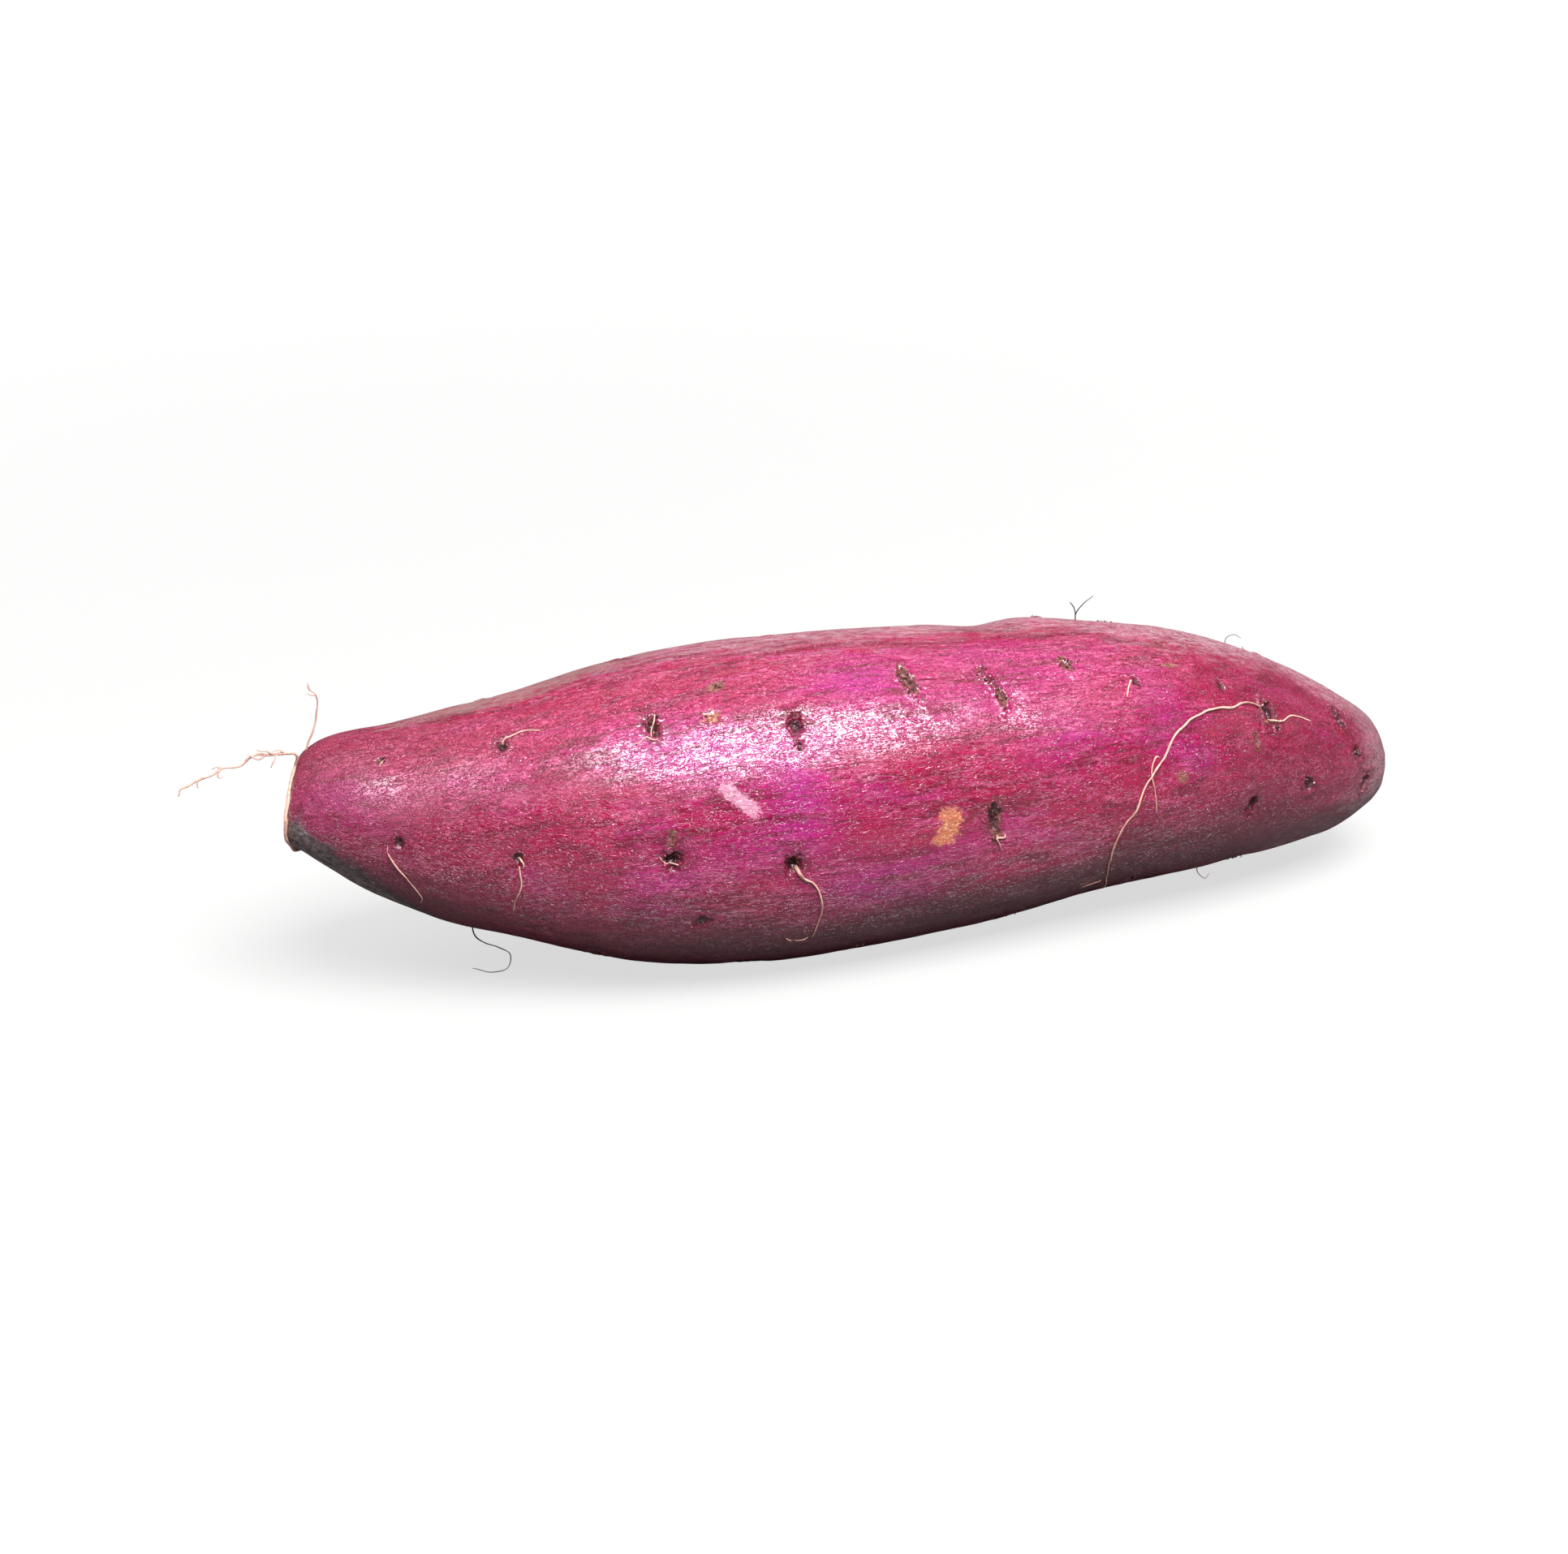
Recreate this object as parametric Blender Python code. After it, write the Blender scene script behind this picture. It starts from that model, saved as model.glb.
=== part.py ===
"""A sweet potato lying on its side: one grown tuber with its root scars and thin rootlets.

+X runs from the blunt end to the rounded end, -Y is the front and +Z is up. The origin is in the
middle of the small flat spot that the tuber rests on, under its weight. Lengths are in metres and
angles in degrees. A place on the skin is two numbers: its distance along the tuber from the blunt
end, and its angle around the tuber, 0 at the front, 90 on top and -90 underneath.
"""

import math
import random

import bmesh
import bpy
import numpy as np
from mathutils import Vector

NAME = "sweet_potato"

# Distance along the tuber, half its thickness there, and the height of its middle. The blunt end
# stands at 0.8 mm.
SECTIONS = (
    (0.0008, 0.0000, 0.0316),
    (0.0010, 0.0050, 0.0318),
    (0.0016, 0.0079, 0.0320),
    (0.0036, 0.0094, 0.0320),
    (0.0080, 0.0117, 0.0316),
    (0.0190, 0.0154, 0.0292),
    (0.0330, 0.0195, 0.0275),
    (0.0510, 0.0246, 0.0261),
    (0.0720, 0.0274, 0.0256),
    (0.0930, 0.0275, 0.0258),
    (0.1150, 0.0261, 0.0263),
    (0.1390, 0.0240, 0.0269),
    (0.1610, 0.0211, 0.0251),
    (0.1790, 0.0166, 0.0219),
    (0.1910, 0.0119, 0.0194),
    (0.1976, 0.0072, 0.0186),
    (0.2000, 0.0000, 0.0184),
)
LENGTH = SECTIONS[-1][0]
BLUNT_END_X = -0.0989
BOW = 0.0030
BOW_SHIFT = -0.0006

# The section is a slightly uneven round: an oval, and three soft lobes that turn along the tuber.
OVAL, OVAL_TURN = 0.020, 150
LOBE, LOBE_PITCH = 0.012, 0.040

# Broad swellings and hollows: place, height, and how far each spreads along and around.
LUMPS = (
    (0.043, 108, -0.0007, 0.009, 28),
    (0.121, 112, -0.0007, 0.005, 16),
    (0.131, 110, 0.0005, 0.007, 20),
    (0.118, -90, 0.0009, 0.014, 34),
    (0.060, 200, 0.0010, 0.016, 40),
    (0.150, 20, -0.0006, 0.010, 22),
    (0.096, 40, 0.0005, 0.014, 30),
    (0.170, 140, 0.0006, 0.012, 30),
    (0.030, -20, 0.0006, 0.009, 30),
    (0.105, -122, 0.0014, 0.045, 30),
    (0.001, -60, -0.0034, 0.0072, 44),
    (0.002, 106, 0.0016, 0.006, 34),
    (0.0245, -64, 0.0007, 0.007, 30),
)
LUMP_FADE = 0.012

# Underneath, the tuber is flat where it rests. The round sides blend into the flat over this height.
FLAT_BLEND = 0.0004

# The blunt end is snapped off at a slant, which fades out along the tuber.
SLANT_BACK, SLANT_UP, SLANT_FADE = 0.33, 0.06, 0.012

# Root scars on the front: place, half length across the tuber, and depth.
FRONT_SCARS = (
    (0.0165, 0, 0.0012, 0.0005),
    (0.0350, 62, 0.0016, 0.0009),
    (0.0342, 4, 0.0013, 0.0008),
    (0.0575, 56, 0.0026, 0.0012),
    (0.0585, 7, 0.0022, 0.0016),
    (0.0632, -20, 0.0020, 0.0007),
    (0.0705, 70, 0.0014, 0.0005),
    (0.0782, 0, 0.0022, 0.0016),
    (0.0813, 50, 0.0024, 0.0014),
    (0.1014, 62, 0.0030, 0.0012),
    (0.1138, 7, 0.0034, 0.0014),
    (0.1160, 57, 0.0036, 0.0011),
    (0.1312, 64, 0.0020, 0.0007),
    (0.1432, 56, 0.0020, 0.0008),
    (0.1517, 78, 0.0016, 0.0004),
    (0.1598, 53, 0.0016, 0.0005),
    (0.1646, -8, 0.0026, 0.0014),
    (0.1650, 27, 0.0016, 0.0004),
    (0.1684, 40, 0.0026, 0.0015),
    (0.1761, 2, 0.0020, 0.0008),
    (0.1856, 51, 0.0024, 0.0011),
    (0.1892, 24, 0.0016, 0.0011),
    (0.1916, -4, 0.0020, 0.0009),
)

# Scars on the back and underneath stand in rows, as on the front, with a little scatter.
SCAR_ROWS = (115, 160, 205, 250, 310)
ROW_START, ROW_END, ROW_STEP = 0.022, 0.186, 0.024
SCATTER_ALONG, SCATTER_AROUND = 0.006, 9
SCAR_HALF_LENGTHS = (0.0014, 0.0030)
SCAR_DEPTHS = (0.0005, 0.0013)
SCAR_HALF_WIDTH = 0.0021
SEED = 11

# Rootlets that lie on the skin: thickness at the root, and places along each.
SKIN_ROOTLETS = {
    "long_front": (
        0.0011,
        (
            (0.1684, 40),
            (0.1643, 44),
            (0.1579, 41),
            (0.1526, 36),
            (0.1483, 28),
            (0.1456, 18),
            (0.1420, 9),
            (0.1401, 0),
            (0.1374, -12),
            (0.1365, -25),
            (0.1372, -38),
            (0.1383, -47),
        ),
    ),
    "long_right": (0.0009, ((0.1684, 40), (0.1712, 38), (0.1740, 40), (0.1775, 42))),
    "long_branch": (
        0.0007,
        ((0.1456, 18), (0.1440, 19), (0.1430, 15), (0.1435, 9), (0.1442, -1)),
    ),
    "middle_front": (
        0.0008,
        ((0.0782, 0), (0.0811, -8), (0.0830, -18), (0.0832, -26), (0.0822, -33)),
    ),
    "left_front": (0.0007, ((0.0342, 4), (0.0342, -3), (0.0338, -15), (0.0332, -25))),
    "left_low": (
        0.0007,
        ((0.0150, -1), (0.0153, -8), (0.0175, -20), (0.0195, -33), (0.0198, -38)),
    ),
    "left_high": (0.0007, ((0.0350, 62), (0.0365, 66), (0.0388, 65), (0.0407, 64))),
    "left_pit": (0.0007, ((0.0565, 7), (0.0580, 3), (0.0598, 1), (0.0608, 2))),
    "right_pit": (0.0008, ((0.1144, 3), (0.1151, -1), (0.1138, -3), (0.1150, -9))),
    "right_high": (0.0007, ((0.1432, 56), (0.1416, 53), (0.1408, 46))),
}

# Rootlets that stand clear: thickness, the place of the root, and steps from it in X, Y and Z.
FREE_ROOTLETS = {
    "tail": (
        0.0012,
        (0.0034, -56),
        (
            (-0.0015, -0.0009, 0.0009),
            (-0.0024, -0.0022, 0.0024),
            (-0.0031, -0.0037, 0.0051),
            (-0.0030, -0.0038, 0.0074),
            (-0.0026, -0.0029, 0.0096),
            (-0.0019, -0.0014, 0.0116),
            (-0.0011, 0.0003, 0.0131),
            (-0.0002, 0.0016, 0.0150),
            (0.0001, 0.0013, 0.0164),
            (-0.0004, 0.0009, 0.0173),
            (-0.0014, 0.0009, 0.0174),
            (-0.0029, 0.0013, 0.0173),
            (-0.0046, 0.0015, 0.0172),
            (-0.0061, 0.0015, 0.0175),
            (-0.0076, 0.0014, 0.0171),
            (-0.0087, 0.0013, 0.0162),
            (-0.0103, 0.0011, 0.0159),
            (-0.0122, 0.0009, 0.0159),
            (-0.0136, 0.0007, 0.0151),
            (-0.0152, 0.0006, 0.0147),
            (-0.0165, 0.0005, 0.0144),
            (-0.0177, 0.0004, 0.0139),
            (-0.0189, 0.0004, 0.0134),
            (-0.0194, 0.0002, 0.0123),
        ),
    ),
    "tail_branch": (
        0.0008,
        (0.0026, 100),
        (
            (0.0007, -0.0001, 0.0018),
            (0.0014, -0.0001, 0.0030),
            (0.0021, -0.0001, 0.0048),
            (0.0024, -0.0002, 0.0066),
            (0.0026, -0.0002, 0.0088),
            (0.0023, -0.0003, 0.0098),
            (0.0015, -0.0004, 0.0106),
            (0.0012, -0.0005, 0.0121),
        ),
    ),
    "top_sprig": (
        0.0009,
        (0.1396, 104),
        ((0.0000, 0.0002, 0.0012), (-0.0004, 0.0000, 0.0024), (-0.0014, -0.0004, 0.0036)),
    ),
    "top_sprig_branch": (
        0.0008,
        (0.1396, 104),
        ((0.0002, 0.0002, 0.0014), (0.0018, 0.0006, 0.0030), (0.0036, 0.0010, 0.0040)),
    ),
    "low_left": (
        0.0009,
        (0.0279, -60),
        (
            (0.0003, -0.0008, -0.0012),
            (0.0016, -0.0016, -0.0022),
            (0.0038, -0.0022, -0.0032),
            (0.0056, -0.0030, -0.0042),
            (0.0050, -0.0048, -0.0056),
            (0.0024, -0.0056, -0.0058),
            (-0.0012, -0.0052, -0.0048),
        ),
    ),
}
TIP_SHARE = 0.55
SUNK = 0.0012
LIE_HEIGHT = 0.0002
STEPS_PER_PLACE = 2

# How finely the faceted skin and the rootlets are divided.
SEGMENTS_AROUND = 56
RINGS_ALONG = 74
PROFILE_SAMPLES = 600
SMOOTH_ANGLE = 50

SKIN_COLOUR = (0.42, 0.045, 0.11, 1.0)
SKIN_ROUGHNESS = 0.45


def chords(points):
    """The distance of each point from the first, along the straight lines between them."""
    return np.concatenate([[0.0], np.cumsum(np.linalg.norm(np.diff(points, axis=0), axis=1))])


def smooth_curve(points, knots, at):
    """Places on the smooth curve that passes each of `points` at its knot.

    The first and last of `points` only steer the curve's ends.
    """
    gaps = np.diff(knots)[:, None]
    slopes = np.diff(points, axis=0) / gaps
    tangents = np.zeros_like(points)
    tangents[1:-1] = (slopes[:-1] * gaps[1:] + slopes[1:] * gaps[:-1]) / (gaps[:-1] + gaps[1:])
    i = np.clip(np.searchsorted(knots, at, side="right") - 1, 1, len(points) - 3)
    gap = gaps[i]
    q = (np.asarray(at)[:, None] - knots[i][:, None]) / gap
    return (
        (2 * q**3 - 3 * q**2 + 1) * points[i]
        + (q**3 - 2 * q**2 + q) * gap * tangents[i]
        + (3 * q**2 - 2 * q**3) * points[i + 1]
        + (q**3 - q**2) * gap * tangents[i + 1]
    )


def profile_table():
    """The side profile: shares of its length, and rows of along, half thickness and height."""
    mirror = np.array([1.0, -1.0, 1.0])
    sections = np.array(SECTIONS)
    points = np.vstack([sections[1] * mirror, sections, sections[-2] * mirror])
    knots = chords(points[:, :2])
    shares = np.linspace(0.0, 1.0, PROFILE_SAMPLES)
    return shares, smooth_curve(points, knots, knots[1] + (knots[-2] - knots[1]) * shares)


SHARES, PROFILE = profile_table()


def turn_between(around, centre):
    """The angle from centre to around, from -180 to 180 degrees."""
    return (around - centre + 180) % 360 - 180


def scars():
    """Every root scar: along, around, half length across the tuber, depth."""
    draw = random.Random(SEED)
    found = list(FRONT_SCARS)
    for around in SCAR_ROWS:
        along = ROW_START + draw.uniform(0, ROW_STEP)
        while along < ROW_END:
            found.append(
                (
                    along + draw.uniform(-1, 1) * SCATTER_ALONG,
                    around + draw.uniform(-1, 1) * SCATTER_AROUND,
                    draw.uniform(*SCAR_HALF_LENGTHS),
                    draw.uniform(*SCAR_DEPTHS),
                )
            )
            along += ROW_STEP
    return found


ALL_SCARS = scars()


def rested(height):
    """The height of a place on the skin once the tuber is flattened where it rests."""
    if height >= FLAT_BLEND:
        return height
    return max(0.0, height + FLAT_BLEND) ** 2 / (4 * FLAT_BLEND)


def skin_point(share, around, lift=0.0):
    """The place on the skin at that share of the profile and that angle, lifted off it by `lift`."""
    along, thick, height = (
        float(np.interp(share, SHARES, PROFILE[:, column])) for column in range(3)
    )
    angle = math.radians(around)
    radius = thick * (
        1
        + OVAL * math.cos(2 * (angle - math.radians(OVAL_TURN)))
        + LOBE * math.cos(3 * angle + along / LOBE_PITCH)
    )
    fade = min(1.0, thick / LUMP_FADE)
    for at, centre, rise, spread, spread_around in LUMPS:
        turn = turn_between(around, centre) / spread_around
        radius += rise * fade * math.exp(-(((along - at) / spread) ** 2) - turn**2)
    for at, centre, half_length, depth in ALL_SCARS:
        across = math.radians(turn_between(around, centre)) * thick / half_length
        beside = (along - at) / SCAR_HALF_WIDTH
        radius -= depth * math.exp(-(across**2) - beside**2)
    radius += lift
    sideways, upward = -radius * math.cos(angle), radius * math.sin(angle)
    middle = 2 * along / LENGTH - 1
    slant = (SLANT_BACK * sideways + SLANT_UP * upward) * math.exp(-((along / SLANT_FADE) ** 2))
    return Vector(
        (
            BLUNT_END_X + along + slant,
            BOW * middle**2 + BOW_SHIFT + sideways,
            rested(height + upward),
        )
    )


def skin_place(along, around, lift=0.0):
    """The place on the skin at that distance along the tuber."""
    return skin_point(np.interp(along, PROFILE[:, 0], SHARES), around, lift)


def make_material():
    material = bpy.data.materials.new("purple_skin")
    material.use_nodes = True
    shader = material.node_tree.nodes["Principled BSDF"]
    shader.inputs["Base Color"].default_value = SKIN_COLOUR
    shader.inputs["Roughness"].default_value = SKIN_ROUGHNESS
    shader.inputs["Metallic"].default_value = 0.0
    return material


def make_tuber(collection):
    """A sphere with its poles at the tuber's ends, each corner moved to its place on the skin."""
    mesh = bpy.data.meshes.new(NAME)
    bm = bmesh.new()
    bmesh.ops.create_uvsphere(bm, u_segments=SEGMENTS_AROUND, v_segments=RINGS_ALONG, radius=1)
    for corner in bm.verts:
        x, y, z = corner.co
        share = 1 - math.acos(max(-1.0, min(1.0, z))) / math.pi
        corner.co = skin_point(share, math.degrees(math.atan2(y, x)))
    bmesh.ops.recalc_face_normals(bm, faces=bm.faces)
    bm.to_mesh(mesh)
    bm.free()
    tuber = bpy.data.objects.new(NAME, mesh)
    collection.objects.link(tuber)
    return tuber


def smooth_route(places):
    """The smooth curve through hand-placed points, in a few steps from each to the next."""
    points = np.array([2 * places[0] - places[1], *places, 2 * places[-1] - places[-2]])
    knots = chords(points)
    turns = np.linspace(1, len(places), STEPS_PER_PLACE * (len(places) - 1) + 1)
    at = np.interp(turns, np.arange(len(points)), knots)
    return smooth_curve(points, knots, at)


def make_rootlet(name, thickness, points, collection):
    """A thin six-sided root that tapers along a row of points."""
    curve = bpy.data.curves.new(name, "CURVE")
    curve.dimensions = "3D"
    curve.bevel_depth = thickness / 2
    curve.bevel_resolution = 1
    curve.use_fill_caps = True
    spline = curve.splines.new("POLY")
    spline.points.add(len(points) - 1)
    for i, (node, place) in enumerate(zip(spline.points, points)):
        node.co = (*place, 1.0)
        node.radius = 1 - (1 - TIP_SHARE) * i / (len(points) - 1)
    strand = bpy.data.objects.new(name, curve)
    bpy.context.scene.collection.objects.link(strand)
    bpy.context.view_layer.update()
    evaluated = strand.evaluated_get(bpy.context.evaluated_depsgraph_get())
    mesh = bpy.data.meshes.new_from_object(evaluated)
    bpy.data.objects.remove(strand)
    bm = bmesh.new()
    bm.from_mesh(mesh)
    bmesh.ops.remove_doubles(bm, verts=bm.verts, dist=1e-6)
    bmesh.ops.recalc_face_normals(bm, faces=bm.faces)
    bm.to_mesh(mesh)
    bm.free()
    collection.objects.link(bpy.data.objects.new(name, mesh))


def make_rootlets(collection):
    for name, (thickness, places) in SKIN_ROOTLETS.items():
        points = [skin_place(along, around, LIE_HEIGHT) for along, around in places]
        points[0] = skin_place(*places[0], -SUNK)
        make_rootlet(name, thickness, smooth_route(points), collection)
    for name, (thickness, root, steps) in FREE_ROOTLETS.items():
        base = skin_place(*root)
        points = [skin_place(*root, -SUNK), *(base + Vector(step) for step in steps)]
        make_rootlet(name, thickness, smooth_route(points), collection)


def fuse(tuber, grown):
    """Joins everything in the collection `grown` to the tuber, as one solid."""
    union = tuber.modifiers.new("grown_together", "BOOLEAN")
    union.operation = "UNION"
    union.operand_type = "COLLECTION"
    union.collection = grown
    union.solver = "EXACT"
    bpy.context.view_layer.update()
    evaluated = tuber.evaluated_get(bpy.context.evaluated_depsgraph_get())
    fused = bpy.data.meshes.new_from_object(evaluated)
    tuber.modifiers.clear()
    tuber.data = fused
    for piece in list(grown.objects):
        bpy.data.objects.remove(piece)
    bpy.data.collections.remove(grown)


def main():
    for old in list(bpy.data.objects):
        bpy.data.objects.remove(old)
    collection = bpy.data.collections.new(NAME)
    grown = bpy.data.collections.new("rootlets")
    for made in (collection, grown):
        bpy.context.scene.collection.children.link(made)
    tuber = make_tuber(collection)
    make_rootlets(grown)
    fuse(tuber, grown)
    tuber.data.materials.clear()
    tuber.data.materials.append(make_material())
    tuber.data.shade_smooth()
    tuber.data.set_sharp_from_angle(angle=math.radians(SMOOTH_ANGLE))


main()
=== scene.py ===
"""The looks of the sweet potato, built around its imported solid.

One fine mesh stands for the solid's skin, with its root scars, wrinkles and bruises. Rootlets grow
from the scars, and crumbs of cork lie in them. Lengths are in metres and angles in degrees, unless
a comment says otherwise. A place on the skin is its distance along the tuber from the blunt end,
and its angle around the tuber: 0 at the front, 90 on top and -90 underneath.
"""

import math
import random
from collections import namedtuple

import bmesh
import bpy
import numpy as np
from mathutils import Euler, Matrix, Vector, noise


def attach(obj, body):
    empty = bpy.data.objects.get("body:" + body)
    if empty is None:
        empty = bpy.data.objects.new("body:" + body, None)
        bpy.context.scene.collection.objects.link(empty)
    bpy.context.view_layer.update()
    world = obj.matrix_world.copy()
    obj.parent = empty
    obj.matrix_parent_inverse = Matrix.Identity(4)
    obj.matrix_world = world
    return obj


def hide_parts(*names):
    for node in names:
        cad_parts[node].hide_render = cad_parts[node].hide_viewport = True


MM = 0.001
SEED = 11

# The tuber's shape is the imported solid's. Distance along it, half its thickness there, and the
# height of its middle. The blunt end stands at 0.8 mm.
SECTIONS = (
    (0.0008, 0.0000, 0.0316),
    (0.0010, 0.0050, 0.0318),
    (0.0016, 0.0079, 0.0320),
    (0.0036, 0.0094, 0.0320),
    (0.0080, 0.0117, 0.0316),
    (0.0190, 0.0154, 0.0292),
    (0.0330, 0.0195, 0.0275),
    (0.0510, 0.0246, 0.0261),
    (0.0720, 0.0274, 0.0256),
    (0.0930, 0.0275, 0.0258),
    (0.1150, 0.0261, 0.0263),
    (0.1390, 0.0240, 0.0269),
    (0.1610, 0.0211, 0.0251),
    (0.1790, 0.0166, 0.0219),
    (0.1910, 0.0119, 0.0194),
    (0.1976, 0.0072, 0.0186),
    (0.2000, 0.0000, 0.0184),
)
LENGTH = SECTIONS[-1][0]
BLUNT_END_X = -0.0989
BOW, BOW_SHIFT = 0.0030, -0.0006
OVAL, OVAL_TURN = 0.020, 150
LOBE, LOBE_PITCH = 0.012, 0.040
LUMPS = (
    (0.043, 108, -0.0007, 0.009, 28),
    (0.121, 112, -0.0007, 0.005, 16),
    (0.131, 110, 0.0005, 0.007, 20),
    (0.118, -90, 0.0009, 0.014, 34),
    (0.060, 200, 0.0010, 0.016, 40),
    (0.150, 20, -0.0006, 0.010, 22),
    (0.096, 40, 0.0005, 0.014, 30),
    (0.170, 140, 0.0006, 0.012, 30),
    (0.030, -20, 0.0006, 0.009, 30),
    (0.105, -122, 0.0014, 0.045, 30),
    (0.001, -60, -0.0034, 0.0072, 44),
    (0.002, 106, 0.0016, 0.006, 34),
    (0.0245, -64, 0.0007, 0.007, 30),
)
LUMP_FADE = 0.012
FLAT_BLEND = 0.0004
SLANT_BACK, SLANT_UP, SLANT_FADE = 0.33, 0.06, 0.012
PROFILE_SAMPLES = 2000

# Relief on the smooth tuber: height and sizes in mm, and a seed that tells the noises apart.
WAVES = (
    (0.16, (16, 6, 6), 3.0),
    (0.08, (7, 2.6, 2.6), 11.0),
    (0.04, (2.2, 1.5, 1.5), 19.0),
)
TIP_WAVES = ((0.22, (9, 1.9, 1.9), 23.0),)
CUT_WAVES = ((0.45, (3.0, 2.4, 2.4), 31.0), (0.22, (1.0, 0.8, 0.8), 37.0))
SCAR_GRAIN = ((1.0, (0.9, 0.9, 0.9), 0.0), (0.5, (0.45, 0.45, 0.45), 7.0))

# Where things fade in, from the first value to the second: distances along the tuber, and the
# half thickness for the waves.
WAVES_FADE = (0.0, 0.006)
TIP_WAVES_FADE = (0.160, 0.190)
TIP_FADE = (0.182, 0.199)
LEFT_END_FADE = (0.050, 0.010)
RIGHT_END_FADE = (0.135, 0.175)
CUT_FADE, CUT_RAGGED = (0.0014, 0.0024), 0.0004
END_EARTH_FADE = (0.0006, 0.0022)

# The painted shade on the underside fades in by how far a place looks down, as the sine of its angle
# around.
UNDERSIDE_SHADE_FADE = (-0.02, -0.62)

# The camera, fitted to the photograph.
CAMERA_AZIMUTH, CAMERA_ELEVATION = -16, 24
CAMERA_DISTANCE = 0.459
CAMERA_LENS_MM, CAMERA_SENSOR_MM = 61.0, 36
CAMERA_CLIP = (0.01, 100)
CAMERA_TARGET = (-0.0144, 0.0, 0.0288)

# Root scars. Half sizes, depth and rim height are in mm. `tilt` turns the scar, `dark` and `cork` say
# from 0 to 1 how dark its pit is and how corky it is, and `crumbs` how many lie in it. `dark` also sets
# the ring of painted shade around the pit.
Scar = namedtuple("Scar", "along around half_across half_along tilt depth rim dark cork crumbs")
SCARS = (
    Scar(0.0055, 27, 1.3, 1.1, 0, 0.12, 0.06, 0.35, 0.3, 1),
    Scar(0.0168, 6, 1.2, 0.8, 0, 0.60, 0.10, 1.0, 0.1, 1),
    Scar(0.0151, 63, 0.6, 0.7, 0, 0.20, 0.10, 0.4, 0.7, 3),
    Scar(0.0343, 61, 1.2, 0.9, -15, 0.80, 0.25, 1.0, 0.1, 5),
    Scar(0.0342, 4, 0.9, 0.8, 0, 0.60, 0.15, 1.0, 0.1, 2),
    Scar(0.0582, 57, 2.2, 1.1, 0, 0.90, 0.30, 1.0, 0.5, 14),
    Scar(0.0586, 5, 1.5, 1.5, 0, 1.50, 0.20, 1.0, 0.1, 2),
    Scar(0.0585, 14, 1.5, 0.7, 0, 0.15, 0.10, 0.0, 0.6, 3),
    Scar(0.0632, -20, 1.3, 1.5, 30, 0.45, 0.10, 0.8, 0.3, 2),
    Scar(0.0705, 71, 0.9, 1.3, 25, 0.20, 0.15, 0.3, 0.7, 4),
    Scar(0.0680, 57, 1.2, 1.3, 0, 0.15, 0.12, 0.2, 0.3, 2),
    Scar(0.0782, 0, 1.6, 1.4, 0, 1.60, 0.20, 1.0, 0.2, 2),
    Scar(0.0813, 50, 1.9, 1.3, 0, 1.00, 0.35, 1.0, 0.2, 9),
    Scar(0.0812, 42, 0.9, 0.9, 0, 0.25, 0.15, 0.7, 0.5, 6),
    Scar(0.1021, 63, 2.9, 1.0, 14, 0.70, 0.45, 0.55, 1.0, 24),
    Scar(0.1134, 6, 2.9, 1.0, 2, 1.00, 0.25, 0.9, 0.9, 10),
    Scar(0.1157, 64, 1.5, 0.7, 22, 0.40, 0.45, 0.40, 0.5, 10),
    Scar(0.1168, 58, 1.3, 0.7, 26, 0.50, 0.50, 0.50, 0.4, 12),
    Scar(0.1177, 52, 1.6, 0.8, 6, 0.50, 0.45, 0.50, 0.9, 14),
    Scar(0.1312, 64, 1.6, 0.8, 14, 0.40, 0.20, 0.5, 0.8, 7),
    Scar(0.1430, 54, 1.1, 0.7, 20, 0.50, 0.20, 0.8, 0.3, 4),
    Scar(0.1517, 78, 0.9, 1.1, 0, 0.25, 0.15, 0.6, 0.2, 2),
    Scar(0.1602, 54, 1.2, 0.6, 12, 0.45, 0.12, 0.9, 0.1, 1),
    Scar(0.1642, -8, 2.1, 0.9, -18, 1.10, 0.15, 1.0, 0.1, 1),
    Scar(0.1650, 27, 1.5, 0.6, 8, 0.20, 0.12, 0.3, 0.8, 4),
    Scar(0.1688, 41, 2.4, 1.2, 8, 1.10, 0.45, 1.0, 0.3, 10),
    Scar(0.1703, 33, 0.9, 0.7, 0, 0.35, 0.15, 0.7, 0.3, 3),
    Scar(0.1765, 2, 1.6, 1.2, -8, 0.70, 0.25, 0.9, 0.3, 2),
    Scar(0.1861, 50, 2.3, 0.9, 22, 1.00, 0.35, 1.0, 0.3, 4),
    Scar(0.1892, 24, 1.4, 0.9, 24, 0.80, 0.30, 1.0, 0.2, 3),
    Scar(0.1912, -2, 1.8, 0.8, -24, 0.90, 0.30, 1.0, 0.2, 1),
)

# Scars on the back and underneath, in rows with a little scatter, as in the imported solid.
SCAR_ROWS = (115, 160, 205, 250, 310)
ROW_START, ROW_END, ROW_STEP = 0.022, 0.186, 0.024
SCATTER_ALONG, SCATTER_AROUND = 0.006, 9
SCAR_HALF_LENGTHS = (0.0014, 0.0030)
SCAR_DEPTHS = (0.0005, 0.0013)
SCAR_WIDTHS_MM, SCAR_RIMS_MM, SCAR_TILTS = (0.6, 1.3), (0.1, 0.4), (-25, 25)
SCAR_DARKS, SCAR_CORKS, SCAR_CRUMBS = (0.5, 1.0), (0.1, 0.8), (1, 11)

# How far a scar reaches in mm, how torn its edge is, and the folds that run out from it.
SCAR_REACH_MM = 9
SCAR_TORN = 0.55
SCAR_FOLDS = 7

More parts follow.
